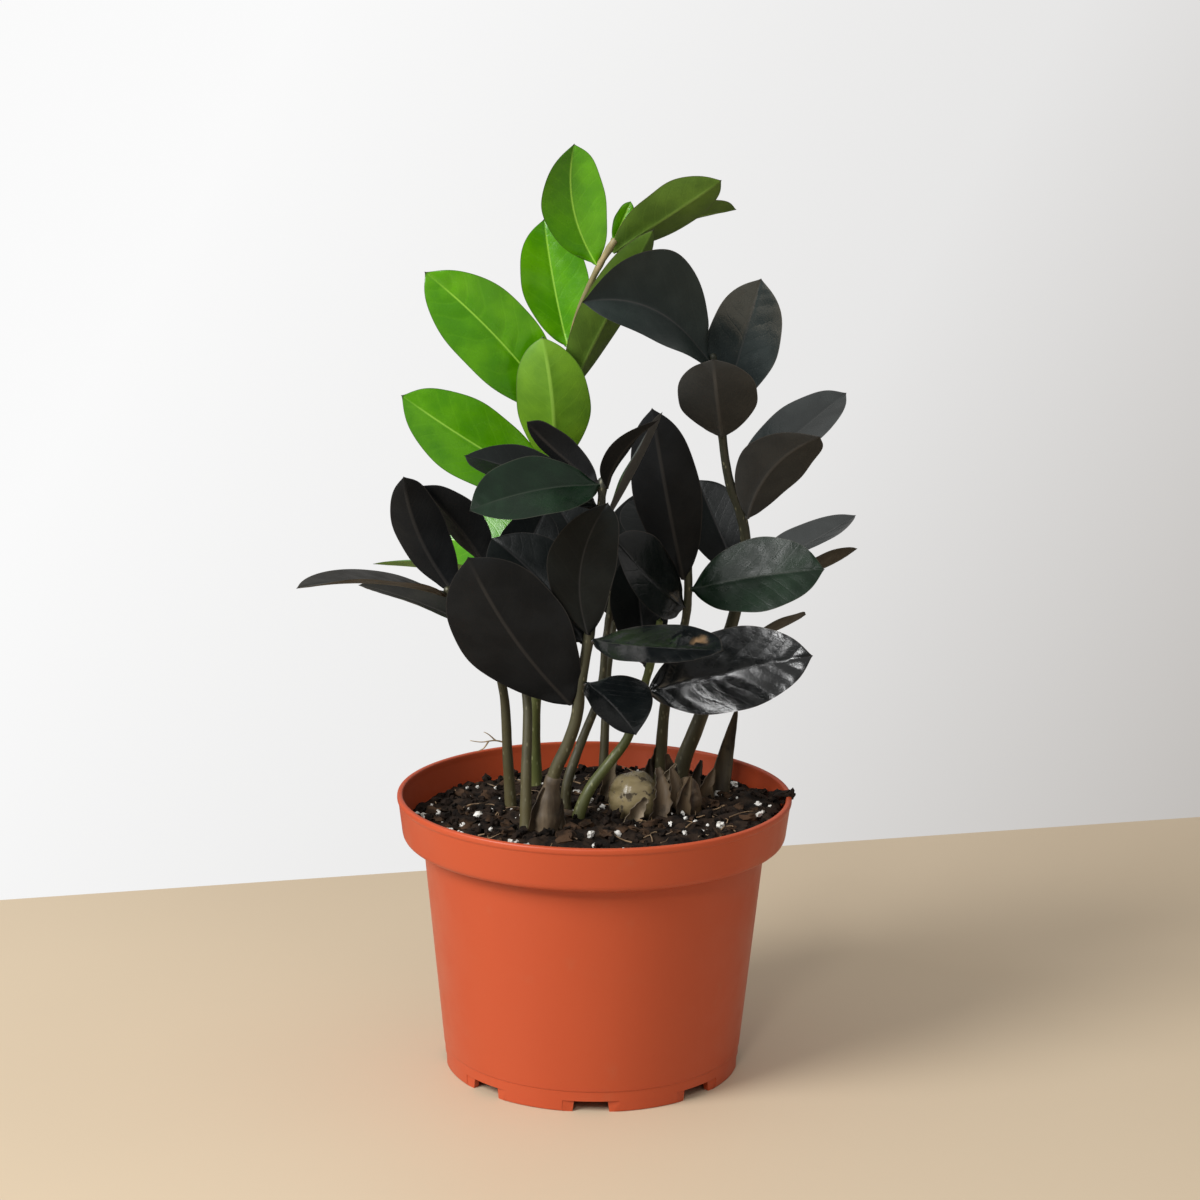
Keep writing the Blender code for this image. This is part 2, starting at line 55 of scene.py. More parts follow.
# The pot, as the CAD has it, in millimetres.
POT_HEIGHT = 120.8
RIM_RADIUS = 85.0
COLLAR_FOOT_RADIUS = 82.6
COLLAR_DEPTH = 19.4
BODY_TOP_RADIUS = 74.0
BODY_FOOT_RADIUS = 64.8
BASE_RADIUS = 64.2
BASE_BAND_HEIGHT = 9.0
WALL = 1.5
FLOOR_TOP = 6.6
FLOOR_UNDERSIDE = 5.2
FOOT_RING_WIDTH = 3.4
NOTCH_COUNT = 8
NOTCH_WIDTH = 14.0
NOTCH_REACH = 12.0
RECESS_WIDTH = 24.0
RECESS_DEPTH = 1.3
NOTCH_HEIGHT = 4.9
DRAIN_RADIUS = 4.0
DRAIN_RING_RADIUS = 46.0
POT_SEGMENTS = 144

# The faces of a block with corners 0 to 3 round one side and 4 to 7 round the opposite side.
BLOCK_FACES = ((3, 2, 1, 0), (4, 5, 6, 7), (0, 1, 5, 4), (1, 2, 6, 5), (2, 3, 7, 6), (3, 0, 4, 7))

# The soil, in millimetres.
SOIL_LEVEL = 109.0
SOIL_MOUND = 2.5
SOIL_TILT = 2.6
SOIL_RADIUS = 80.3
HEAP_HEIGHT = 4.5
HEAP_CENTRE = (68, -2)
HEAP_SPREAD = (17, 38)
GRAIN_REACH = 77
BURIED = 108

# A CAD leaflet: the shares of its chord at its first, widest and last rings of points, and how far its
# middle line is from the middle of its keel. When neither end of its longest line is within SHORT_LEAF_GAP
# of the stem, that line is its width.
FIRST_STATION = 0.05
WIDEST_STATION = 0.47
LAST_STATION = 0.92
PEAK_STATION = 0.53
KEEL_OFFSET = 0.225
SHORT_LEAF_GAP = 8.0
STEM_RING = 8

# The fine leaflet and stem meshes.
LEAF_ROWS = 60
LEAF_COLUMNS = 14
BLADE_THICKNESS = 0.42
STALK_RADIUS = 1.25
VEIN_PAIRS = 8
VEIN_LEAN = 0.75
STEM_SIDES = 14
STEM_STEP = 2.5

# The camera and the lights, in metres and degrees. ROOM_LIGHT is the room's strength as a light.
CAMERA_PLACE = (0.0014, -1.1, 0.4345)
CAMERA_LENS = 79.3
CAMERA_DROP = 11.78
CAMERA_ROLL = 0.655
KEY_PLACE = (-1.35, -0.95, 1.25)
FILL_PLACE = (-0.35, -1.8, 1.35)
LIT_POINT = (0, 0, 0.2)
ROOM_LIGHT = 0.35

Blade = namedtuple("Blade", "base tip along side upper length width arch cup sway")
Look = namedtuple(
    "Look", "upper upper_light rib vein margin lower lower_light lower_rib gloss lower_gloss shine")

# Colours are linear RGB. Gloss values are roughnesses, and shine is the strength of the mirror-like part.
DARK_UNDERSIDE = ((0.005, 0.0058, 0.0066), (0.008, 0.009, 0.01), (0.022, 0.021, 0.02))
SLATE_UNDERSIDE = ((0.03, 0.031, 0.03), (0.039, 0.04, 0.038), (0.066, 0.064, 0.06))
LOOKS = {
    "green leaf": Look(
        (0.055, 0.225, 0.0008), (0.09, 0.3, 0.0015), (0.26, 0.52, 0.05), (0.12, 0.36, 0.008),
        (0.05, 0.11, 0.01), (0.085, 0.215, 0.006), (0.13, 0.29, 0.01), (0.2, 0.38, 0.04),
        0.22, 0.5, 0.38),
    "olive leaf": Look(
        (0.055, 0.19, 0.004), (0.085, 0.24, 0.008), (0.2, 0.4, 0.05), (0.1, 0.28, 0.012),
        (0.08, 0.09, 0.03), (0.062, 0.128, 0.012), (0.095, 0.185, 0.018), (0.17, 0.3, 0.05),
        0.26, 0.55, 0.3),
    "dark satin leaf": Look(
        (0.0034, 0.0046, 0.0046), (0.006, 0.0078, 0.0076), (0.018, 0.018, 0.018), (0.009, 0.011, 0.01),
        (0.028, 0.026, 0.024), *DARK_UNDERSIDE,
        0.38, 0.56, 0.13),
    "dark slate leaf": Look(
        (0.021, 0.029, 0.027), (0.029, 0.039, 0.036), (0.05, 0.052, 0.05), (0.03, 0.038, 0.036),
        (0.07, 0.066, 0.062), *SLATE_UNDERSIDE,
        0.36, 0.55, 0.22),
    "slate gloss leaf": Look(
        (0.02, 0.026, 0.026), (0.032, 0.04, 0.04), (0.04, 0.044, 0.044), (0.018, 0.024, 0.024),
        (0.08, 0.078, 0.074), *SLATE_UNDERSIDE,
        0.21, 0.55, 0.6),
    "dark gloss leaf": Look(
        (0.0026, 0.0036, 0.004), (0.0048, 0.0066, 0.007), (0.014, 0.015, 0.015), (0.007, 0.009, 0.009),
        (0.04, 0.032, 0.026), *DARK_UNDERSIDE,
        0.2, 0.5, 0.52),
    "dark green leaf": Look(
        (0.0036, 0.012, 0.0055), (0.0068, 0.021, 0.0095), (0.018, 0.028, 0.018), (0.008, 0.018, 0.01),
        (0.04, 0.044, 0.032), (0.0085, 0.009, 0.007), (0.015, 0.015, 0.012), (0.034, 0.032, 0.021),
        0.3, 0.52, 0.24),
    "brown leaf": Look(
        (0.0075, 0.0076, 0.0062), (0.015, 0.0145, 0.011), (0.032, 0.03, 0.025), (0.018, 0.017, 0.013),
        (0.055, 0.048, 0.034), (0.017, 0.014, 0.0085), (0.032, 0.026, 0.015), (0.05, 0.044, 0.028),
        0.36, 0.52, 0.26),
}

# The leaflets that differ from their shoot's usual look: each one's number, look and depth of the quilting
# between its veins.
USUAL_LOOK = {"green_shoot": ("green leaf", 0.13)}
DARK_LOOK = ("dark satin leaf", 0.09)
SPECIAL_LEAVES = {
    "green_shoot": (
        (3, "green leaf", 0.42), (5, "olive leaf", 0.1), (7, "olive leaf", 0.12), (8, "olive leaf", 0.1)),
    "right_shoot": (
        (1, "dark slate leaf", 0.1), (2, "slate gloss leaf", 0.3), (3, "dark slate leaf", 0.08),
        (4, "slate gloss leaf", 0.22), (5, "dark slate leaf", 0.1), (6, "slate gloss leaf", 0.26),
        (7, "brown leaf", 0.1), (8, "brown leaf", 0.1)),
    "low_shoot": ((1, "dark gloss leaf", 0.75),),
    "middle_shoot": ((3, "dark gloss leaf", 0.12), (4, "dark green leaf", 0.34)),
    "front_shoot": (
        (1, "dark satin leaf", 0.12), (4, "dark gloss leaf", 0.36), (5, "dark gloss leaf", 0.14),
        (6, "dark green leaf", 0.34), (10, "slate gloss leaf", 0.08)),
    "left_shoot": ((2, "brown leaf", 0.14), (3, "brown leaf", 0.1)),
}
SCARRED_LEAF = "front_shoot_leaflet_04"
SCAR_TAN = (0.22, 0.135, 0.07)


# ---- Material helpers ----

class Nodes:
    """A node tree, with one call for each node."""

    def __init__(self, owner):
        owner.use_nodes = True
        self.tree = owner.node_tree

    def feed(self, socket, value):
        if isinstance(value, bpy.types.NodeSocket):
            self.tree.links.new(value, socket)
        elif isinstance(value, tuple) and len(value) == 3 and socket.type == "RGBA":
            socket.default_value = (*value, 1.0)
        else:
            socket.default_value = value

    def node(self, kind, inputs=None, **settings):
        made = self.tree.nodes.new("ShaderNode" + kind)
        for key, value in settings.items():
            setattr(made, key, value)
        for key, value in (inputs or {}).items():
            self.feed(made.inputs[key], value)
        return made


class Shader(Nodes):
    """A material's nodes, with short calls for the kinds that most materials use."""

    def __init__(self, name):
        self.material = bpy.data.materials.new(name)
        super().__init__(self.material)
        self.surface = self.tree.nodes["Principled BSDF"]

    def set(self, **inputs):
        """Feeds the surface's sockets. Their names have _ for each space."""
        for key, value in inputs.items():
            self.feed(self.surface.inputs[key.replace("_", " ")], value)

    def math(self, operation, first, second=0.0):
        return self.node("Math", {0: first, 1: second}, operation=operation).outputs[0]

    def mix(self, share, first, second):
        mixed = self.node("Mix", {0: share, 6: first, 7: second}, data_type="RGBA")
        return mixed.outputs[2]

    def between(self, value, low, high, start=0.0, end=1.0):
        """value taken from the range low to high to the range start to end, with smooth ends."""
        inputs = {0: value, 1: low, 2: high, 3: start, 4: end}
        return self.node("MapRange", inputs, interpolation_type="SMOOTHSTEP").outputs[0]

    def place(self, stretch=(1.0, 1.0, 1.0)):
        coordinates = self.node("TexCoord").outputs["Object"]
        return self.node("Mapping", {"Vector": coordinates, "Scale": stretch}).outputs[0]

    def noise(self, scale, detail=4.0, stretch=(1.0, 1.0, 1.0)):
        inputs = {"Vector": self.place(stretch), "Scale": scale, "Detail": detail}
        return self.node("TexNoise", inputs).outputs["Fac"]

    def patches(self, scale, detail, low, high, start=0.0, end=1.0, stretch=(1.0, 1.0, 1.0)):
        """Noise with its middle, low to high, spread smoothly over the range start to end."""
        return self.between(self.noise(scale, detail, stretch), low, high, start, end)

    def cells(self, scale, feature="F1", stretch=(1.0, 1.0, 1.0)):
        inputs = {"Vector": self.place(stretch), "Scale": scale}
        return self.node("TexVoronoi", inputs, feature=feature).outputs["Distance"]

    def bump(self, height, depth, strength=1.0, under=None):
        inputs = {"Height": height, "Distance": depth * MM, "Strength": strength}
        if under is not None:
            inputs["Normal"] = under
        return self.node("Bump", inputs).outputs[0]


def leaf_material(name, look):
    """A leaflet's two faces. The blade and vein attributes hold where on the leaflet a point is."""
    shader = Shader(name)
    blade = shader.node("Attribute", attribute_name="blade").outputs["Vector"]
    along, scar, face = shader.node("SeparateXYZ", {0: blade}).outputs
    vein = shader.node("Attribute", attribute_name="vein").outputs["Vector"]
    phase, from_rib, from_margin = shader.node("SeparateXYZ", {0: vein}).outputs
    is_upper = shader.math("GREATER_THAN", face, 0.5)
    off_vein = shader.math("PINGPONG", phase, 0.5)
    on_vein = shader.between(off_vein, 0.0, 0.12, 1.0, 0.0)
    fine_vein = shader.between(shader.cells(520.0, "DISTANCE_TO_EDGE"), 0.0, 0.12, 1.0, 0.0)
    inside = shader.between(from_margin, 0.6, 3.0)
    veins = shader.math("MULTIPLY", on_vein, inside)
    mottle = shader.patches(70.0, 5.0, 0.36, 0.68)
    thin_rib = shader.between(from_rib, 0.1, 0.55, 1.0, 0.0)
    wide_rib = shader.between(from_rib, 0.3, 1.1, 1.0, 0.0)
    edge = shader.between(from_margin, 0.12, 0.5, 1.0, 0.0)
    ribs_end = shader.between(along, 0.78, 0.97, 1.0, 0.15)

    upper = shader.mix(mottle, look.upper, look.upper_light)
    upper = shader.mix(shader.math("MULTIPLY", veins, 0.18), upper, look.vein)
    upper = shader.mix(shader.math("MULTIPLY", thin_rib, ribs_end), upper, look.rib)
    lower = shader.mix(mottle, look.lower, look.lower_light)
    lower = shader.mix(shader.math("MULTIPLY", veins, 0.22), lower, look.lower_light)
    lower = shader.mix(shader.math("MULTIPLY", wide_rib, ribs_end), lower, look.lower_rib)
    colour = shader.mix(is_upper, lower, upper)
    colour = shader.mix(shader.math("MULTIPLY", edge, 0.75), colour, look.margin)
    tip = shader.between(along, 0.975, 0.995)
    colour = shader.mix(tip, colour, tuple(0.25 * value for value in look.margin))
    shader.set(Base_Color=shader.mix(scar, colour, SCAR_TAN))
    shader.set(Specular_IOR_Level=look.shine)

    uneven = shader.patches(160.0, 3.0, 0.3, 0.7, -0.05, 0.07)
    smooth = shader.math("ADD", look.gloss, uneven)
    matte = shader.math("ADD", look.lower_gloss, uneven)
    roughness = shader.node("Mix", {0: is_upper, 2: matte, 3: smooth}, data_type="FLOAT").outputs[0]
    grain = shader.bump(shader.noise(900.0, 2.0), 0.03, 0.5)
    network = shader.bump(fine_vein, -0.02, 0.6, grain)
    shader.set(Roughness=roughness, Normal=shader.bump(veins, -0.04, 0.5, network))
    return shader.material


def pot_material():
    """Moulded terracotta plastic: an even colour, slight flow marks, fine grain and a few scuffs."""
    shader = Shader("terracotta plastic")
    flow = shader.patches(9.0, 3.0, 0.3, 0.7, stretch=(1.0, 1.0, 0.35))
    colour = shader.mix(flow, (0.43, 0.062, 0.0185), (0.46, 0.072, 0.023))
    dust = shader.patches(55.0, 6.0, 0.62, 0.8, 0.0, 0.3)
    colour = shader.mix(dust, colour, (0.4, 0.12, 0.055))
    specks = shader.between(shader.cells(330.0), 0.03, 0.09, 0.28, 0.0)
    colour = shader.mix(specks, colour, (0.2, 0.04, 0.02))
    shader.set(Base_Color=colour)
    shader.set(Roughness=shader.patches(40.0, 5.0, 0.3, 0.75, 0.36, 0.52))
    shader.set(Specular_IOR_Level=0.35, Subsurface_Weight=0.04, Subsurface_Radius=(0.004, 0.0015, 0.001))
    grain = shader.bump(shader.noise(1100.0, 2.0), 0.02, 0.5)
    waviness = shader.bump(shader.noise(26.0, 2.0, (1.0, 1.0, 0.3)), 0.25, 0.6, grain)
    scratches = shader.patches(60.0, 6.0, 0.7, 0.74, stretch=(1.0, 1.0, 9.0))
    shader.set(Normal=shader.bump(scratches, -0.03, 0.6, waviness))
    return shader.material


def rough_material(name, dark, light, scale, depth, roughness=0.9):
    """An earthy surface: two colours in fractal patches, with bumps of the same size."""
    shader = Shader(name)
    patches = shader.patches(scale, 8.0, 0.35, 0.65)
    shader.set(Base_Color=shader.mix(patches, dark, light))
    shader.set(Roughness=shader.patches(scale * 1.7, 4.0, 0.3, 0.7, roughness - 0.15, roughness))
    shader.set(Specular_IOR_Level=0.15)
    coarse = shader.bump(shader.noise(scale * 1.3, 6.0), depth)
    shader.set(Normal=shader.bump(shader.noise(scale * 6.0, 3.0), depth * 0.3, 0.8, coarse))
    return shader.material


def stem_material(name, foot, middle, top, fleck, low, high):
    """A stem's skin: the colour changes up the stem, with long pale flecks and fine grooves."""
    shader = Shader(name)
    height = shader.node("SeparateXYZ", {0: shader.place()}).outputs[2]
    half_way = (low + high) / 2
    colour = shader.mix(shader.between(height, low, half_way), foot, middle)
    colour = shader.mix(shader.between(height, half_way, high), colour, top)
    patches = shader.patches(90.0, 5.0, 0.42, 0.66, 0.0, 0.55, (1.0, 1.0, 0.4))
    colour = shader.mix(patches, colour, tuple(0.45 * value for value in middle))
    flecks = shader.between(shader.cells(420.0, "F1", (1.0, 1.0, 0.45)), 0.1, 0.26, 0.75, 0.0)
    colour = shader.mix(flecks, colour, fleck)
    shader.set(Base_Color=colour)
    shader.set(Roughness=shader.patches(200.0, 3.0, 0.3, 0.7, 0.42, 0.62))
    grooves = shader.bump(shader.noise(330.0, 3.0, (1.0, 1.0, 0.12)), 0.18, 0.8)
    shader.set(Normal=shader.bump(flecks, 0.05, 0.7, grooves))
    return shader.material


def rhizome_material():
    """The pale bulb: a glossy olive-beige skin with darker bands, scars and clinging soil."""
    shader = Shader("pale rhizome")
    streaks = shader.patches(55.0, 5.0, 0.35, 0.65, stretch=(1.0, 1.0, 2.6))
    colour = shader.mix(streaks, (0.085, 0.066, 0.026), (0.27, 0.215, 0.11))
    height = shader.node("SeparateXYZ", {0: shader.place()}).outputs[2]
    colour = shader.mix(shader.between(height, 0.112, 0.12, 0.75, 0.0), colour, (0.03, 0.019, 0.01))
    soiled = shader.patches(240.0, 5.0, 0.58, 0.66, 0.0, 0.85)
    colour = shader.mix(soiled, colour, (0.025, 0.016, 0.009))
    shader.set(Base_Color=colour)
    shader.set(Roughness=shader.between(soiled, 0.0, 0.85, 0.27, 0.85))
    bands = shader.bump(shader.noise(70.0, 4.0, (0.6, 0.6, 3.5)), 0.5, 0.7)
    shader.set(Normal=shader.bump(shader.noise(480.0, 3.0), 0.1, 0.6, bands))
    return shader.material


def papery_material(name, dark, light):
    """Dry skin: fibres along its length, darker blotches and a matte face."""
    shader = Shader(name)
    fibres = shader.patches(170.0, 6.0, 0.32, 0.68, stretch=(1.0, 1.0, 0.16))
    colour = shader.mix(fibres, dark, light)
    blotches = shader.patches(120.0, 5.0, 0.52, 0.7, 0.0, 0.7)
    shader.set(Base_Color=shader.mix(blotches, colour, tuple(0.3 * value for value in dark)))
    shader.set(Roughness=shader.between(blotches, 0.0, 0.7, 0.6, 0.85))
    ribs = shader.bump(shader.noise(380.0, 4.0, (1.0, 1.0, 0.1)), 0.3, 0.9)
    shader.set(Normal=shader.bump(shader.noise(150.0, 5.0), 0.4, 0.6, ribs))
    return shader.material


def table_material():
    """The pale table top: smooth painted board with a faint cloud of tone."""
    shader = Shader("table")
    cloud = shader.patches(1.6, 2.0, 0.3, 0.7)
    shader.set(Base_Color=shader.mix(cloud, (0.54, 0.435, 0.305), (0.565, 0.46, 0.325)))
    shader.set(Roughness=shader.patches(6.0, 2.0, 0.3, 0.7, 0.52, 0.62))
    shader.set(Normal=shader.bump(shader.noise(420.0, 2.0), 0.02, 0.4))
    return shader.material


# ---- Mesh helpers ----

def linked(name, data):
    made = bpy.data.objects.new(name, data)
    bpy.context.scene.collection.objects.link(made)
    return made


def object_from(name, points, faces, material, attributes=None, sharp_angle=50.0):
    """A smooth-shaded object from points in millimetres. Edges over sharp_angle degrees stay sharp."""
    mesh = bpy.data.meshes.new(name)
    mesh.from_pydata([tuple(point) for point in np.asarray(points) * MM], [], faces)
    mesh.materials.append(material)
    mesh.polygons.foreach_set("use_smooth", [True] * len(mesh.polygons))
    for key, values in (attributes or {}).items():
        layer = mesh.attributes.new(key, "FLOAT_VECTOR", "POINT")
        layer.data.foreach_set("vector", np.asarray(values, np.float32).ravel())
    mesh.update()
    mesh.set_sharp_from_angle(angle=math.radians(sharp_angle))
    return linked(name, mesh)


def loft_faces(rings, size):
    """Faces of a closed body: point 0 is the start, then rings of size points, then the end point."""
    faces = []
    end = 1 + rings * size
    for i in range(size):
        following = (i + 1) % size
        faces.append((0, 1 + following, 1 + i))
        for ring in range(rings - 1):
            low = 1 + ring * size
            high = low + size
            faces.append((low + i, low + following, high + following, high + i))
        last = end - size
        faces.append((last + i, last + following, end))
    return faces


def finish_piece(piece, slot_name, *nodes):
    """Rides the piece on the one body and hides the CAD nodes that it stands for."""
    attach(piece, "root")
    if nodes:
        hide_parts(*nodes)


def add_bodies(name, bodies, material, slot_name, *nodes, sharp_angle=50.0):
    """One piece made of several closed bodies, each with its points and faces."""
    points, faces = [], []
    for more_points, more_faces in bodies:
        start = len(points)
        points += list(more_points)
        faces += [tuple(start + i for i in facet) for facet in more_faces]
    finish_piece(object_from(name, points, faces, material, None, sharp_angle), slot_name, *nodes)


def spline_point(points, place):
    """A point on the smooth curve through points, at a place counted in segments."""
    last = len(points) - 1
    first = min(int(place), last - 1)
    t = place - first
    p0 = points[max(first - 1, 0)]
    p1, p2 = points[first], points[first + 1]
    p3 = points[min(first + 2, last)]
    return 0.5 * (2 * p1 + (p2 - p0) * t + (2 * p0 - 5 * p1 + 4 * p2 - p3) * t * t
                  + (3 * p1 - p0 - 3 * p2 + p3) * t ** 3)


def smooth_line(points, step):
    """Points along the smooth curve through points, about step millimetres apart, and their places."""
    places = [0.0]
    for index in range(len(points) - 1):
        count = max(1, round(np.linalg.norm(points[index + 1] - points[index]) / step))
        places += [index + (i + 1) / count for i in range(count)]
    return np.array([spline_point(points, place) for place in places]), np.array(places)


def directions(line):
    """The unit direction of the line at each of its points."""
    steps = np.gradient(line, axis=0)
    return steps / np.linalg.norm(steps, axis=1)[:, None]


def tube(line, radii, sides):
    """The points and faces of a closed round body with a ring square to the line at each of its points."""
    tangents = directions(line)
    angles = np.arange(sides) * 2 * math.pi / sides
    across = np.array([1.0, 0.0, 0.0])
    points = [line[0] - tangents[0] * radii[0] * 0.6]
    for centre, along, radius in zip(line, tangents, radii):
        across = across - along * across.dot(along)
        across /= np.linalg.norm(across)
        other = np.cross(along, across)
        for angle in angles:
            points.append(centre + (across * math.cos(angle) + other * math.sin(angle)) * radius)
    points.append(line[-1] + tangents[-1] * radii[-1] * 0.8)
    return points, loft_faces(len(line), sides)


def solid_points(node):
    """The distinct points of a CAD node, in millimetres."""
    mesh = NODES[node].data
    places = np.empty(len(mesh.vertices) * 3, np.float32)
    mesh.vertices.foreach_get("co", places)
    places = places.reshape(-1, 3).astype(float)
    matrix = np.array(NODES[node].matrix_world)
    places = (places @ matrix[:3, :3].T + matrix[:3, 3]) / MM
    return np.unique(places.round(4), axis=0)


# ---- Stems ----

def stem_rings(node):
    """Centres and radii of the CAD stem's rings of points, from its foot to its top."""
    points = solid_points(node)
    points = points[np.argsort(points[:, 2])]
    for end in (slice(None, STEM_RING + 1), slice(-STEM_RING - 1, None)):
        group = points[end]
        pole = group[np.argmin(np.linalg.norm(group - group.mean(0), axis=1))]
        points = points[np.linalg.norm(points - pole, axis=1) > 1e-6]
    rings = points.reshape(-1, STEM_RING, 3)
    centres = rings.mean(axis=1)
    radii = np.linalg.norm(rings - centres[:, None], axis=2).mean(axis=1)
    return centres, radii


def stem_line(node):
    """The stem's smooth middle line and its radius at each point."""
    centres, radii = stem_rings(node)
    line, places = smooth_line(centres, STEM_STEP)
    return line, np.interp(places, range(len(radii)), radii)


def add_stem(shoot, line, radii, joints, finish, material):
    """A stem that is slightly uneven, with a small swelling where each leaflet joins it."""
    swollen = np.array(radii)
    for joint in joints:
        distance = np.linalg.norm(line - joint, axis=1)
        swollen += 0.45 * np.exp(-(distance / 2.6) ** 2)
    for index, point in enumerate(line):
        swollen[index] *= 1 + 0.05 * noise.noise(Vector(point) * 0.21)
    stem = object_from(f"{shoot}_fine_stem", *tube(line, swollen, STEM_SIDES), material)
    finish_piece(stem, finish, f"{shoot}_stem")


# ---- Leaflets ----

def blade_share(station):
    """The CAD blade's half width as a share of its greatest."""
    before = (station / PEAK_STATION) ** 0.75
    return np.minimum(1.0, before * ((1 - station) / (1 - PEAK_STATION)) ** 0.66)


def from_line(points, line):
    """How far each point is from the nearest point of the line."""
    return np.linalg.norm(points[:, None] - line[None], axis=2).min(axis=1)


def read_blade(node, line):
    """The chord, axes, width and bends of a CAD leaflet that grows on the stem line.

    The first ring is nearer to the base than the last ring is to the tip, which tells the chord's two ends
    apart. In the widest ring the two edges are furthest apart, and the keel's two points are between them.
    """
    points = solid_points(node)
    gaps = np.linalg.norm(points[:, None] - points[None], axis=2)
    first, last = np.unravel_index(gaps.argmax(), gaps.shape)
    base, tip = points[first], points[last]
    if from_line(points[[first, last]], line).min() > SHORT_LEAF_GAP:
        base = points[from_line(points, line).argmin()]
        tip = points[np.linalg.norm(points - base, axis=1).argmax()]
    length = np.linalg.norm(tip - base)
    shares = np.sort((points - base) @ (tip - base)) / length ** 2
    if shares[1] > (FIRST_STATION + 1 - LAST_STATION) / 2:
        base, tip = tip, base
    along = (tip - base) / length
    shares = (points - base) @ along / length
    ring = points[np.abs(shares - WIDEST_STATION) < 0.02]
    spans = np.linalg.norm(ring[:, None] - ring[None], axis=2)
    one, other = np.unravel_index(spans.argmax(), spans.shape)
    edges = (ring[one] + ring[other]) / 2
    offsets = np.abs((ring - edges) @ (ring[other] - ring[one]))
    keel = ring[np.argsort(offsets)[:2]].mean(axis=0)
    fold = edges - keel
    upper = fold - along * fold.dot(along)
    upper /= np.linalg.norm(upper)
    side = np.cross(along, upper)
    curve = 4 * WIDEST_STATION * (1 - WIDEST_STATION)
    centre = keel - base - along * length * WIDEST_STATION
    half = spans.max() / 2
    width = 2 * half / blade_share(WIDEST_STATION)
    cup = (np.linalg.norm(fold) - KEEL_OFFSET) * width / 2 / half
    arch = (centre.dot(upper) + KEEL_OFFSET) / curve
    sway = centre.dot(side) / curve
    return Blade(base, tip, along, side, upper, length, width, arch, cup, sway)


def smooth_step(value, low, high):
    share = np.clip((value - low) / (high - low), 0, 1)
    return share * share * (3 - 2 * share)


def blister_and_scar(blade, t, s):
    """A small blister near the leaflet's upper edge, and a tan scar beyond it: the lift and the scar."""
    up = 1 if blade.side[2] > 0 else -1
    blister = np.exp(-(((t - 0.63) / 0.06) ** 2 + ((s * up - 0.45) / 0.2) ** 2) ** 2)
    wander = 0.45 + 0.1 * np.sin(34 * t)
    reach = np.where(t < 0.76, 0.03, 0.085)
    scar = np.exp(-(((t - 0.745) / reach) ** 2 + ((s * up - wander) / 0.15) ** 2) ** 2)
    return 1.9 * blister - 0.5 * scar, scar


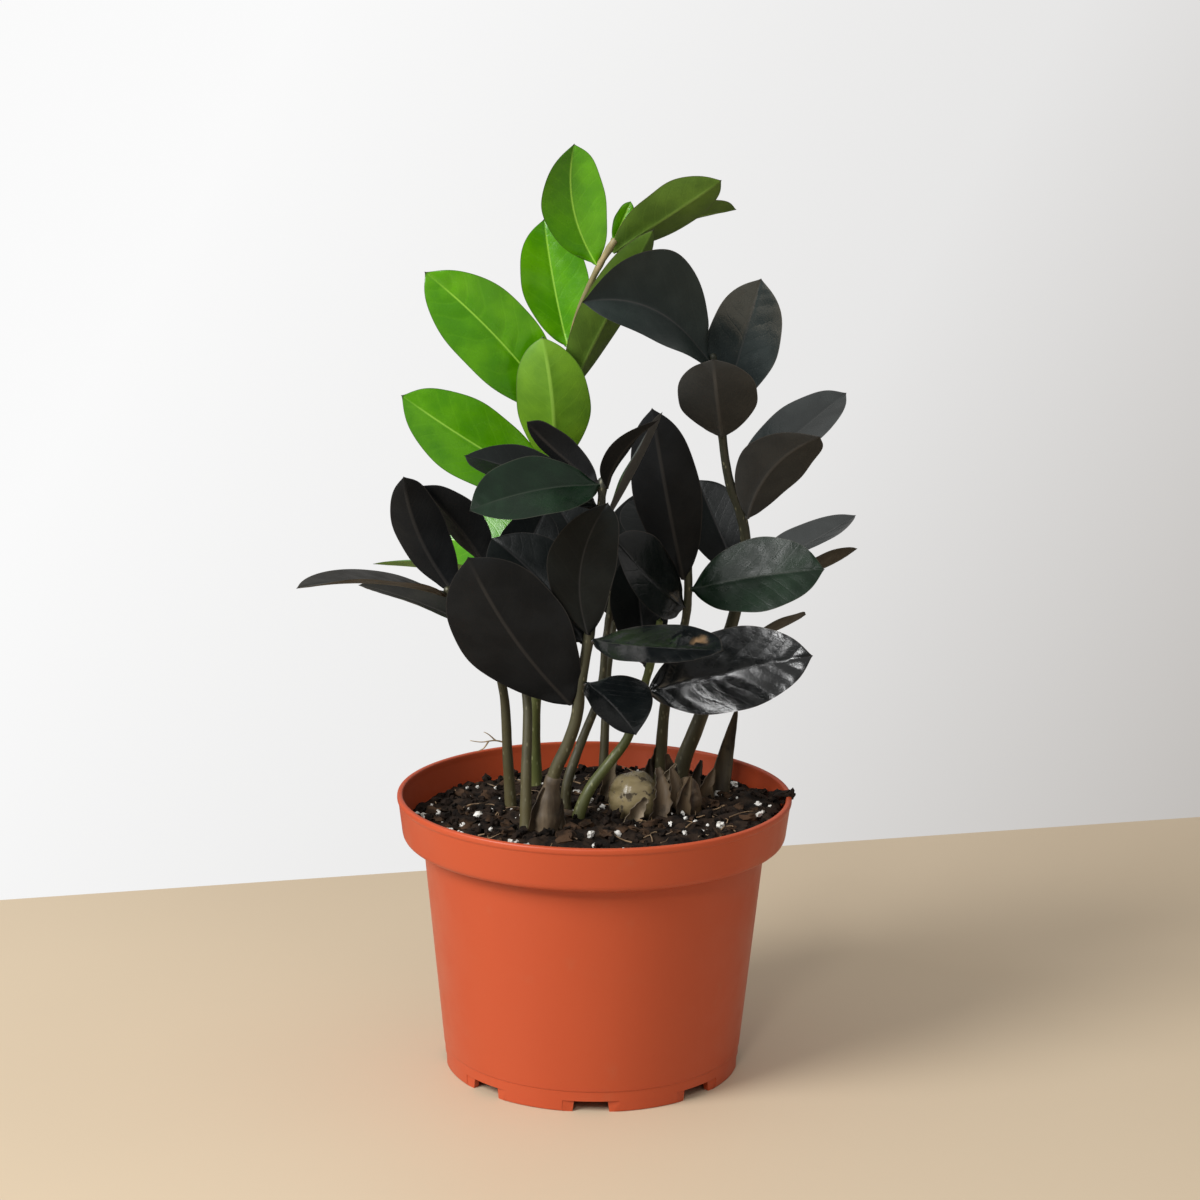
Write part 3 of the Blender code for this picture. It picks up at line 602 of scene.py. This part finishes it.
def blade_points(blade, root, quilt, seed, is_scarred):
    """The fine leaflet: its points from the stem to the tip, and its blade and vein attributes."""
    rows = np.linspace(0, 1, LEAF_ROWS + 1)[:-1]
    rows = 0.4 * rows + 0.6 * (0.5 - 0.5 * np.cos(math.pi * rows))
    spread = np.linspace(-1, 1, LEAF_COLUMNS + 1)
    spread = np.sign(spread) * np.abs(spread) ** 1.35
    across = np.concatenate([spread, spread[-2:0:-1]])
    face = np.concatenate([np.ones(LEAF_COLUMNS + 1), -np.ones(LEAF_COLUMNS - 1)])
    face[[0, LEAF_COLUMNS]] = 0

    t = rows[:, None]
    s = across[None, :]
    lift = face[None, :]
    outline = blade_share(t) * (1 - np.exp(-(1 - t) / 0.032))
    ripple = 1 + 0.015 * np.sin(17 * t + seed) + 0.02 * np.sign(s) * math.cos(seed)
    stalk = min(STALK_RADIUS, 0.16 * blade.width)
    half = blade.width / 2 * outline * np.where(t > 0.1, ripple, 1.0)
    half = np.where(t < 0.5, np.maximum(stalk, half), half)
    x = s * half
    spacing = blade.length / VEIN_PAIRS
    reach = np.abs(x) + 0.035 * x * x
    phase = (t * blade.length - VEIN_LEAN * reach) / spacing + 0.15 * np.sign(s) + 4
    phase = phase + 0.16 * np.sin(2.3 * phase + seed) + 0.1 * np.sin(0.45 * np.abs(x) + 5 * t + seed)
    opened = smooth_step(t, 0.0, 0.12)
    closing = smooth_step(1 - t, 0.0, 0.1)
    body = np.clip(4 * np.abs(s) * (1 - np.abs(s)), 0, 1) ** 0.7
    uneven = 0.75 + 0.45 * np.sin(1.9 * phase + 2.2 * seed) * np.cos(0.33 * x + seed)
    swell = np.sin(math.pi * phase) ** 2 - 0.5
    relief = quilt * uneven * swell * body * opened * closing
    wave = 0.035 * half * np.sin(2.1 * t * math.pi + seed) * s
    wave = wave + 0.25 * np.sin(13 * t + 2 * seed) * np.abs(s) ** 3
    curve = 4 * t * (1 - t)
    fold = blade.cup * half / (blade.width / 2) * np.abs(s) ** 1.3 * opened
    thick = (stalk + (BLADE_THICKNESS - stalk) * opened) * (0.35 + 0.65 * closing)
    groove = -0.28 * np.exp(-(x / 0.6) ** 2) * opened * (lift > 0)
    keel = -0.6 * np.exp(-(x / 0.9) ** 2) * opened * (1 - t) ** 0.6 * (lift < 0)
    rise = blade.arch * curve + fold + relief + wave * opened * closing + groove + keel
    rise = rise + lift * thick * np.sqrt(np.clip(1 - s * s, 0, 1))
    shape = x.shape
    scar = np.zeros(shape)
    if is_scarred:
        bulge, scar = blister_and_scar(blade, t, s)
        rise = rise + bulge
        scar = scar * (lift > 0)
    grid = blade.base + blade.along * (blade.length * t)[:, :, None]
    grid = grid + blade.side * (blade.sway * curve + x)[:, :, None] + blade.upper * rise[:, :, None]

    neck = (grid[0] + (root - blade.base) * 0.7)[None]
    points = np.concatenate([root[None], neck.reshape(-1, 3), grid.reshape(-1, 3), blade.tip[None]])
    where = np.stack([np.broadcast_to(t, shape), scar, np.broadcast_to(0.5 + 0.5 * lift, shape)], 2)
    veins = np.stack([phase, np.abs(x), half - np.abs(x)], 2)
    return points, [ends_added(values) for values in (where, veins)]


def ends_added(values):
    """A grid of attribute values with those of the start, the neck ring and the tip added."""
    first, last = values[0], values[-1].mean(axis=0)
    flat = values.reshape(-1, 3)
    start = first.mean(axis=0)[None]
    tip = np.array([[1.0, 0.0, last[2]]]) if abs(last[0]) <= 1 else last[None]
    return np.concatenate([start, first, flat, tip])


def add_leaflet(shoot, node, blade, line, materials):
    number = int(node[-2:])
    special = {leaf: rest for leaf, *rest in SPECIAL_LEAVES.get(shoot, ())}
    look, quilt = special.get(number, USUAL_LOOK.get(shoot, DARK_LOOK))
    root = line[np.argmin(np.linalg.norm(line - blade.base, axis=1))]
    seed = 1.7 * number + len(node)
    points, (where, veins) = blade_points(blade, root, quilt, seed, node == SCARRED_LEAF)
    faces = loft_faces(LEAF_ROWS + 1, 2 * LEAF_COLUMNS)
    attributes = {"blade": where, "vein": veins}
    name = node.replace("leaflet", "fine_leaflet")
    made = object_from(name, points, faces, materials[look], attributes, 70.0)
    finish_piece(made, "green leaf" if shoot == "green_shoot" else "dark leaf", node)


def add_plant():
    """Every stem with its leaflets."""
    materials = {name: leaf_material(name, look) for name, look in LOOKS.items()}
    barks = {
        "dark stem": stem_material(
            "dark stem", (0.085, 0.072, 0.03), (0.045, 0.045, 0.022), (0.022, 0.024, 0.014),
            (0.16, 0.15, 0.085), 0.105, 0.26),
        "green stem": stem_material(
            "green stem", (0.1, 0.105, 0.03), (0.105, 0.14, 0.03), (0.34, 0.27, 0.14),
            (0.26, 0.27, 0.12), 0.105, 0.34),
    }
    shoots = [node[:-len("_stem")] for node in NODES if node.endswith("_stem")]
    for shoot in sorted(shoots):
        line, radii = stem_line(f"{shoot}_stem")
        leaflets = sorted(node for node in NODES if node.startswith(f"{shoot}_leaflet"))
        blades = {node: read_blade(node, line) for node in leaflets}
        finish = "green stem" if shoot in ("green_shoot", "low_shoot") else "dark stem"
        add_stem(shoot, line, radii, [blade.base for blade in blades.values()], finish, barks[finish])
        for node, blade in blades.items():
            add_leaflet(shoot, node, blade, line, materials)


# ---- Pot ----

def rounded(corners, steps=5):
    """An outline of (radius, height) points, with each corner (radius, height, rounding) made an arc."""
    outline = []
    for index, (radius, height, rounding) in enumerate(corners):
        here = Vector((radius, height))
        if rounding <= 0 or index in (0, len(corners) - 1):
            outline.append(here)
            continue
        before = (Vector(corners[index - 1][:2]) - here).normalized()
        after = (Vector(corners[index + 1][:2]) - here).normalized()
        for step in range(steps + 1):
            share = step / steps
            start = here + before * rounding
            end = here + after * rounding
            outline.append(start * (1 - share) ** 2 + here * (2 * share * (1 - share)) + end * share ** 2)
    return outline


def pot_outline():
    """The wall from the middle of its underside, up the outside, over the lip and down the inside."""
    collar_foot = POT_HEIGHT - COLLAR_DEPTH
    lip_inner = RIM_RADIUS - 2.4
    ring_inner = BASE_RADIUS - FOOT_RING_WIDTH
    return rounded([
        (0.01, FLOOR_UNDERSIDE, 0),
        (ring_inner, FLOOR_UNDERSIDE, 0.5),
        (ring_inner, 0, 0.3),
        (BASE_RADIUS - 0.1, 0, 0.7),
        (BODY_FOOT_RADIUS - 0.35, BASE_BAND_HEIGHT, 0.15),
        (BODY_FOOT_RADIUS, BASE_BAND_HEIGHT + 0.4, 0.15),
        (BODY_TOP_RADIUS, collar_foot, 0.8),
        (COLLAR_FOOT_RADIUS - 0.2, collar_foot, 3.2),
        (RIM_RADIUS - 0.55, POT_HEIGHT - 3.0, 0.3),
        (RIM_RADIUS, POT_HEIGHT - 2.3, 0.6),
        (RIM_RADIUS, POT_HEIGHT, 1.1),
        (lip_inner, POT_HEIGHT, 0.9),
        (lip_inner - 0.2, POT_HEIGHT - 3.0, 0.6),
        (COLLAR_FOOT_RADIUS - WALL - 0.3, collar_foot + WALL + 3.6, 1.5),
        (COLLAR_FOOT_RADIUS - WALL - 2.6, collar_foot + WALL, 1.5),
        (BODY_TOP_RADIUS - WALL, collar_foot + WALL, 0.8),
        (BODY_FOOT_RADIUS - WALL, FLOOR_TOP, 1.8),
        (0.01, FLOOR_TOP, 0),
    ])


def turned(name, outline, material, segments):
    """A body of revolution. The outline starts and ends on the axis."""
    angles = np.arange(segments) * 2 * math.pi / segments
    circle = np.stack([np.cos(angles), np.sin(angles), np.zeros(segments)], 1)
    points = [(0, 0, outline[0].y)]
    for corner in outline[1:-1]:
        points += list(circle * corner.x + np.array([0, 0, corner.y]))
    points.append((0, 0, outline[-1].y))
    return object_from(name, points, loft_faces(len(outline) - 2, segments), material, None, 35.0)


def notch_cutter(inner, width, top, flare):
    """One block through the foot ring in each notch direction, a little wider at the bottom."""
    outer = BASE_RADIUS + 6
    shape = bmesh.new()
    for index in range(NOTCH_COUNT):
        turn = Matrix.Rotation(2 * math.pi * index / NOTCH_COUNT - math.pi / 2, 4, "Z")
        corners = []
        for height, half in ((-2.0, width / 2 + flare), (top, width / 2)):
            for distance, side in ((inner, -half), (outer, -half), (outer, half), (inner, half)):
                corners.append(shape.verts.new(turn @ (Vector((distance, side, height)) * MM)))
        for quad in BLOCK_FACES:
            shape.faces.new([corners[i] for i in quad])
    return shape


def drain_cutter():
    shape = bmesh.new()
    centres = [Vector((0, 0, 0))]
    for index in range(NOTCH_COUNT):
        angle = 2 * math.pi * index / NOTCH_COUNT - math.pi / 2
        centres.append(Vector((math.cos(angle), math.sin(angle), 0)) * DRAIN_RING_RADIUS)
    for centre in centres:
        place = Matrix.Translation((centre + Vector((0, 0, FLOOR_TOP))) * MM)
        bmesh.ops.create_cone(shape, cap_ends=True, segments=32, radius1=DRAIN_RADIUS * MM,
                              radius2=DRAIN_RADIUS * MM, depth=8 * MM, matrix=place)
    return shape


def cut(target, shape):
    """Cuts shape out of target and applies the cut."""
    mesh = bpy.data.meshes.new("cutter")
    shape.to_mesh(mesh)
    shape.free()
    cutter = linked("cutter", mesh)
    boolean = target.modifiers.new("cut", "BOOLEAN")
    boolean.operation = "DIFFERENCE"
    boolean.solver = "EXACT"
    boolean.object = cutter
    bpy.context.view_layer.objects.active = target
    bpy.ops.object.modifier_apply(modifier="cut")
    bpy.data.objects.remove(cutter, do_unlink=True)


def add_pot():
    pot = turned("moulded_pot", pot_outline(), pot_material(), POT_SEGMENTS)
    cut(pot, notch_cutter(BASE_RADIUS - RECESS_DEPTH, RECESS_WIDTH, NOTCH_HEIGHT, 0.3))
    cut(pot, notch_cutter(BASE_RADIUS - NOTCH_REACH, NOTCH_WIDTH, NOTCH_HEIGHT, 1.0))
    cut(pot, drain_cutter())
    pot.data.set_sharp_from_angle(angle=math.radians(35))
    finish_piece(pot, "terracotta plastic", "nursery_pot")


# ---- Soil ----

def soil_height(x, y):
    """The soil's surface in millimetres: a low mound, heaped at the right, with crumbs of three sizes."""
    distance = math.hypot(x, y) / RIM_RADIUS
    height = SOIL_LEVEL + SOIL_MOUND * (1 - distance * distance) + SOIL_TILT * x / RIM_RADIUS
    from_heap = [(a - b) / c for a, b, c in zip((x, y), HEAP_CENTRE, HEAP_SPREAD)]
    height += HEAP_HEIGHT * math.exp(-from_heap[0] ** 2 - from_heap[1] ** 2)
    for depth, size, layer in ((1.8, 15, 3.1), (1.6, 5.5, 8.4), (1.1, 2.3, 1.7)):
        height += depth * noise.noise(Vector((x / size, y / size, layer)))
    return height


def add_soil():
    """One body that fills the pot, with a small gap at its wall and floor, and a finely divided top."""
    segments, rings = 220, 76
    angles = np.arange(segments) * 2 * math.pi / segments
    floor, foot, neck = FLOOR_TOP + 0.3, BODY_FOOT_RADIUS - WALL, BODY_TOP_RADIUS - WALL - 0.4
    walls = (
        (foot - 2.2, floor), (foot - 0.4, floor + 2.1), (neck, 102.5), (78.0, 103.8), (SOIL_RADIUS, 106.6))
    points = [(0, 0, floor)]
    for radius, height in walls:
        points += [(radius * math.cos(angle), radius * math.sin(angle), height) for angle in angles]
    for ring in range(rings):
        radius = SOIL_RADIUS * (1 - ring / rings)
        for angle in angles:
            x, y = radius * math.cos(angle), radius * math.sin(angle)
            points.append((x, y, soil_height(x, y)))
    points.append((0, 0, soil_height(0, 0)))
    earth = rough_material("potting soil", (0.0045, 0.003, 0.0022), (0.026, 0.016, 0.01), 150.0, 1.2, 0.95)
    body = (points, loft_faces(len(walls) + rings, segments))
    add_bodies("crumbly_soil", [body], earth, "potting soil", "potting_soil", sharp_angle=180.0)


def lump(rng, centre, size, flatness, roughness):
    """Points and faces of one irregular grain, from a sphere pushed in and out by noise."""
    shape = bmesh.new()
    bmesh.ops.create_icosphere(shape, subdivisions=2, radius=1.0)
    offset = Vector(rng.uniform(-50, 50, 3))
    spin = Matrix.Rotation(rng.uniform(0, math.tau), 3, "Z")
    turn = spin @ Matrix.Rotation(rng.uniform(-0.7, 0.7), 3, "X")
    scale = Vector((1.0, rng.uniform(0.5, 0.95), flatness))
    points = []
    for corner in shape.verts:
        push = 1 + roughness * noise.noise(corner.co * 1.6 + offset)
        moved = turn @ Vector([c * k for c, k in zip(corner.co * push, scale)])
        points.append(tuple(Vector(centre) + moved * size))
    faces = [tuple(corner.index for corner in facet.verts) for facet in shape.faces]
    shape.free()
    return points, faces


def soil_place(rng, reach):
    """A random place on the soil, no further than reach from its middle."""
    radius = math.sqrt(rng.uniform(0, reach ** 2))
    angle = rng.uniform(0, math.tau)
    return radius * math.cos(angle), radius * math.sin(angle)


def scattered(rng, count, low, high, flatness, roughness, sunk):
    """Grains lying in the soil's surface, from low to high millimetres in size."""
    grains = []
    for _ in range(count):
        x, y = soil_place(rng, 78)
        size = low + (high - low) * rng.random() ** 2.2
        centre = (x, y, soil_height(x, y) + size * (flatness - sunk))
        grains.append(lump(rng, centre, size, flatness, roughness))
    return grains


def add_grains():
    """Bark, peat crumbs, white perlite and fine fibres on the soil."""
    rng = np.random.default_rng(21)
    bark = rough_material("bark", (0.01, 0.006, 0.0035), (0.055, 0.03, 0.016), 210.0, 0.6)
    crumbs = rough_material("peat crumbs", (0.004, 0.0028, 0.002), (0.02, 0.012, 0.008), 260.0, 0.7, 0.95)
    perlite = rough_material("perlite", (0.42, 0.4, 0.36), (0.8, 0.79, 0.75), 420.0, 0.25, 0.85)
    for name, material, grains in (
        ("bark_chips", bark, scattered(rng, 190, 1.4, 4.6, 0.42, 1.1, 0.25)),
        ("peat_crumbs", crumbs, scattered(rng, 420, 0.9, 3.0, 0.8, 0.9, 0.35)),
        ("perlite_grains", perlite, scattered(rng, 110, 0.6, 2.2, 0.8, 0.8, 0.25)),
    ):
        add_bodies(name, grains, material, "potting soil", sharp_angle=40.0)
    clusters = []
    for x, y, spread, count in ((-62, -30, 9, 16), (-16, -62, 7, 7), (52, -16, 26, 11), (-30, -48, 12, 8)):
        for _ in range(count):
            px, py = x + rng.normal(0, spread / 2), y + rng.normal(0, spread / 2)
            if math.hypot(px, py) < GRAIN_REACH:
                size = rng.uniform(0.8, 2.3)
                clusters.append(lump(rng, (px, py, soil_height(px, py) + size * 0.45), size, 0.8, 0.8))
    add_bodies("perlite_clusters", clusters, perlite, "potting soil", sharp_angle=40.0)
    over_rim = [lump(rng, (x, y, z), size, 0.5, 1.0) for x, y, z, size in (
        (78.5, 1, 118.6, 4.4), (81.5, -2, 120.6, 3.6), (84.6, -3, 121.9, 2.6), (79.5, 8, 117.5, 4.0))]
    add_bodies("soil_on_rim", over_rim, crumbs, "potting soil", sharp_angle=40.0)
    add_fibres(rng)


def add_fibres(rng):
    """Short dry roots and bark fibres that lie loosely on the soil."""
    fibres = []
    for _ in range(80):
        x, y = soil_place(rng, 74)
        heading = rng.uniform(0, math.tau)
        length = rng.uniform(4, 13)
        route = []
        for share in (0.0, 0.35, 0.7, 1.0):
            bend = heading + rng.uniform(-0.5, 0.5)
            px = x + math.cos(bend) * length * share
            py = y + math.sin(bend) * length * share
            inward = min(1.0, GRAIN_REACH / max(1.0, math.hypot(px, py)))
            px, py = px * inward, py * inward
            route.append(np.array([px, py, soil_height(px, py) + 0.5 + rng.uniform(0, 1.8) * share]))
        line, _ = smooth_line(route, 1.5)
        radii = np.linspace(0.32, 0.12, len(line))
        fibres.append(tube(line, radii, 5))
    straw = papery_material("dry fibres", (0.1, 0.06, 0.03), (0.3, 0.2, 0.11))
    add_bodies("soil_fibres", fibres, straw, "potting soil")


# ---- Rhizomes and dry sheaths ----

def add_bulb(name, node, material, wrinkle, slot_name):
    """A rhizome's top, fitted into its CAD solid's box, with rings and dents."""
    low, high = (Vector(corner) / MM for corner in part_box(node))
    centre, half = (low + high) / 2, (high - low) / 2
    segments, rings = 48, 30
    points = [tuple(centre - Vector((0, 0, half.z)))]
    for ring in range(1, rings):
        polar = math.pi * ring / rings
        for i in range(segments):
            turn = 2 * math.pi * i / segments
            out = math.sin(polar)
            way = Vector((out * math.cos(turn), out * math.sin(turn), -math.cos(polar)))
            push = 0.95 + wrinkle * noise.noise(way * 1.8 + centre * 0.1)
            push += 0.35 * wrinkle * noise.noise(Vector((way.x * 2, way.y * 2, way.z * 14)))
            push = min(push, 1.0)
            points.append(tuple(centre + Vector([w * h * push for w, h in zip(way, half)])))
    points.append(tuple(centre + Vector((0, 0, half.z * 0.97))))
    body = (points, loft_faces(rings - 1, segments))
    add_bodies(name, [body], material, slot_name, node, sharp_angle=180.0)


def husk(route, widths, curl, thickness, ragged, seed=0.0):
    """A thin strip along a route, curled by an angle, with ragged edges and closed all round."""
    line, places = smooth_line([np.array(point, float) for point in route], 1.5)
    widths = np.interp(places, range(len(widths)), widths)
    tangents = directions(line)
    columns = 8
    points = [line[0]]
    across = np.array([1.0, 0.15, 0.0])
    for index, (centre, along, width) in enumerate(zip(line, tangents, widths)):
        across = across - along * across.dot(along)
        across /= np.linalg.norm(across)
        outward = np.cross(along, across)
        width = width * (1 + ragged * math.sin(2.3 * index + seed) * math.sin(0.9 * index))
        radius = max(width / curl, 0.2)
        for layer in (1, -1):
            for column in range(columns + 1)[::layer]:
                angle = (column / columns - 0.5) * curl
                reach = radius + layer * thickness / 2
                lift = reach * math.cos(angle) - radius
                points.append(centre + across * reach * math.sin(angle) + outward * lift)
    points.append(line[-1])
    return points, loft_faces(len(line), 2 * (columns + 1))


def add_husks():
    """Dry sheaths at the shoots' feet, the old shoot's sheath and the small bracts on the green shoot."""
    brown = papery_material("brown sheath", (0.026, 0.017, 0.009), (0.105, 0.07, 0.036))
    pale = papery_material("pale sheath", (0.1, 0.074, 0.042), (0.27, 0.21, 0.135))
    rust = papery_material("rust bract", (0.3, 0.11, 0.03), (0.55, 0.3, 0.12))
    low, high = (np.array(corner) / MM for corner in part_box("old_shoot_sheath"))
    half_way = (low[1] + high[1]) / 2
    foot = np.array([low[0] + 4.6, half_way, low[2]])
    top = np.array([high[0] - 1.2, half_way, high[2] - 0.5])
    middle = foot * 0.45 + top * 0.55 + np.array([-1.2, 0, 0])
    sheath = husk([foot, middle, top], (13.5, 10.0, 0.8), 2.3, 0.5, 0.03)
    old = papery_material("old sheath", (0.028, 0.02, 0.01), (0.085, 0.065, 0.032))
    add_bodies("old_sheath_husk", [sheath], old, "brown rhizome", "old_shoot_sheath")

    at_feet = []
    for (x, y), middle, top, widths, curl, ragged, seed in (
        ((-25, -26), (-24, -27.5, 119), (-21, -27.5, 130), (8, 8.5, 2.0), 2.6, 0.2, 1.0),
        ((-14, -25), (-15, -24, 116), (-14, -23, 124), (6, 6, 1.2), 2.2, 0.2, 2.2),
        ((33, 14), (34, 12, 122), (31, 10, 135), (10, 9, 2.0), 2.4, 0.2, 0.4),
        ((24, 20), (23, 19, 120), (24, 17, 131), (7, 7, 1.0), 2.2, 0.2, 3.1),
        ((43, 33), (44, 31, 117), (47, 30, 127), (8, 7, 1.5), 2.3, 0.2, 5.2),
        ((39, -4), (38, -6, 118), (41, -7, 130), (8, 8, 1.5), 2.6, 0.2, 4.2),
        ((26, -10), (29, -9, 121), (27, -5, 133), (10, 9, 2.5), 2.2, 0.25, 2.0),
        ((34, -2), (36, -1, 118), (33, 2, 131), (11, 10, 2.0), 2.3, 0.25, 0.9),
        ((47, 14), (48, 13, 118), (52, 13, 128), (10, 9, 1.5), 2.4, 0.25, 3.7),
        ((24, 30), (26, 28, 124), (29, 27, 138), (9, 8, 1.5), 2.4, 0.25, 1.4),
    ):
        at_feet.append(husk([(x, y, BURIED), middle, top], widths, curl, 0.3, ragged, seed))
    add_bodies("brown_sheaths", at_feet, brown, "brown rhizome")
    pale_bits = [
        husk([(4, 14, 112), (6, 12, 124), (9, 10, 136)], (6, 6.5, 1.5), 2.0, 0.25, 0.25, 0.7),
        husk([(27, 5, 118), (30, 3, 126), (35, 2, 133)], (4, 4.5, 1.0), 1.9, 0.25, 0.3, 1.9),
        husk([(14, -13, BURIED), (17, -15, 115), (22, -14, 122)], (7, 8, 3.0), 1.8, 0.3, 0.25, 2.9),
    ]
    add_bodies("pale_sheaths", pale_bits, pale, "pale rhizome")
    line, _ = stem_line("green_shoot_stem")
    bracts = []
    for height, reach, width in ((300, 3.6, 2.4), (306, 3.0, 1.8), (318, 3.4, 2.0), (277, 2.8, 1.8)):
        at = line[np.argmin(np.abs(line[:, 2] - height))] + np.array([0.3, -1.5, 0])
        route = [at, at + np.array([-0.4, -0.8, reach * 0.6]), at + np.array([0.2, -0.9, reach * 1.3])]
        bracts.append(husk(route, (width, width * 0.8, 0.3), 1.8, 0.25, 0.1, height))
    add_bodies("rust_bracts", bracts, rust, "green stem")


def add_crown():
    """The knobbly brown crown among the shoots' feet, and the papery skin round the front shoot's foot."""
    rng = np.random.default_rng(8)
    knobs = [lump(rng, (x, y, z), size, 0.85, 0.55) for x, y, z, size in (
        (32, 6, 110, 8.5), (41, 12, 111, 8.0), (27, 15, 110, 7.5), (50, 16, 109, 6.5), (36, 20, 112, 7.5),
        (28, 27, 111, 7.0), (-13, -4, 109, 6.0))]
    crust = papery_material("crown bark", (0.022, 0.013, 0.007), (0.095, 0.06, 0.032))
    add_bodies("brown_crown", knobs, crust, "brown rhizome", sharp_angle=60.0)
    line, _ = stem_line("front_shoot_stem")
    foot = line[(line[:, 2] > 104) & (line[:, 2] < 136)]
    shares = np.linspace(0, 1, len(foot))
    radii = 3.2 + 2.9 * np.sin(math.pi * np.clip(0.28 + 0.72 * shares, 0, 1)) ** 1.5
    radii *= 1 + 0.06 * np.sin(21 * shares)
    skin = papery_material("foot skin", (0.045, 0.03, 0.016), (0.17, 0.125, 0.075))
    add_bodies("front_foot_skin", [tube(foot, radii, 20)], skin, "brown rhizome")


def add_root_twig():
    """The small dry root that sticks out of the left shoot's foot."""
    line, _ = stem_line("left_shoot_stem")
    start = line[np.argmin(np.abs(line[:, 2] - 139))]
    routes = (
        [(0, 0, 0), (-5, -1, 1.5), (-11, -2, 1.0), (-16, -2, 1.6)],
        [(-5, -1, 1.5), (-8, -2, 4.5), (-10, -2, 5.5)],
        [(-8, -1.5, 1.3), (-10, -3, -1.5), (-13, -3, -3.0)],
    )
    twigs = []
    for route in routes:
        bend, _ = smooth_line([start + np.array(point, float) for point in route], 1.2)
        radii = np.linspace(0.42, 0.16, len(bend))
        twigs.append(tube(bend, radii, 6))
    dry = papery_material("dry root", (0.22, 0.14, 0.07), (0.45, 0.34, 0.2))
    add_bodies("dry_root_twig", twigs, dry, "brown rhizome")


# ---- Room ----

def add_table():
    """A finite table top whose far edge crosses the picture behind the pot."""
    left, right = Vector((-307, 206, 0)), Vector((352.5, 383.6, 0))
    beyond = (right - left).normalized() * 1100
    corners = [left - beyond, right + beyond, Vector((1600, -1900, 0)), Vector((-1600, -1900, 0))]
    points = corners + [corner - Vector((0, 0, 25)) for corner in corners]
    object_from("table_top", points, BLOCK_FACES, table_material())


def add_light(name, place, size, power):
    data = bpy.data.lights.new(name, "AREA")
    data.shape = "DISK"
    data.size = size
    data.energy = power
    made = linked(name, data)
    made.location = place
    made.rotation_euler = (Vector(LIT_POINT) - Vector(place)).to_track_quat("-Z", "Y").to_euler()


def add_world():
    """An off-white room with painted shade, darker at the right and low down where the camera sees it, that
    also gives a dim light.
    """
    world = bpy.data.worlds.new("room")
    bpy.context.scene.world = world
    room = Nodes(world)
    way = room.node("TexCoord").outputs["Generated"]
    right, _, up = room.node("SeparateXYZ", {0: way}).outputs
    # Painted shade: the room that the camera sees grows darker towards the right and low down.
    painted_low_shade = room.node("Math", {0: up, 1: -0.55, 2: 0.12}, operation="MULTIPLY_ADD").outputs[0]
    painted_shade = room.node("Math", {0: right, 1: 1.0, 2: painted_low_shade}, operation="MULTIPLY_ADD").outputs[0]
    wall = room.node("ValToRGB", {0: painted_shade})
    stops = wall.color_ramp.elements
    stops[0].position, stops[0].color = 0.0, (0.96, 0.96, 0.96, 1.0)
    stops[1].position, stops[1].color = 0.55, (0.46, 0.435, 0.41, 1.0)
    middle = stops.new(0.28)
    middle.color = (0.8, 0.795, 0.79, 1.0)
    seen = room.tree.nodes["Background"]
    room.feed(seen.inputs["Color"], wall.outputs[0])
    overhead = {0: up, 1: -0.1, 3: 0.5 * ROOM_LIGHT, 4: 2.1 * ROOM_LIGHT}
    strength = room.node("MapRange", overhead).outputs[0]
    lit = room.node("Background", {"Color": (1.0, 0.97, 0.94), "Strength": strength})
    is_seen = room.node("LightPath").outputs["Is Camera Ray"]
    mixed = room.node("MixShader", {0: is_seen, 1: lit.outputs[0], 2: seen.outputs[0]})
    room.feed(room.tree.nodes["World Output"].inputs[0], mixed.outputs[0])


def add_camera():
    data = bpy.data.cameras.new("camera")
    data.lens = CAMERA_LENS
    data.sensor_width = 36.0
    made = linked("camera", data)
    tilt = Matrix.Rotation(math.radians(90 - CAMERA_DROP), 4, "X")
    roll = Matrix.Rotation(math.radians(CAMERA_ROLL), 4, "Z")
    made.matrix_world = Matrix.Translation(CAMERA_PLACE) @ tilt @ roll
    bpy.context.scene.camera = made
    bpy.context.scene.view_settings.view_transform = "Standard"


def build():
    add_camera()
    add_world()
    add_light("key", KEY_PLACE, 1.0, 46)
    add_light("fill", FILL_PLACE, 0.3, 7)
    add_table()
    add_pot()
    add_soil()
    add_grains()
    add_bulb("pale_bulb", "pale_rhizome", rhizome_material(), 0.1, "pale rhizome")
    bark = papery_material("rhizome bark", (0.034, 0.02, 0.01), (0.125, 0.08, 0.04))
    add_bulb("papery_bulb", "papery_rhizome", bark, 0.22, "brown rhizome")
    add_plant()
    add_husks()
    add_crown()
    add_root_twig()


build()
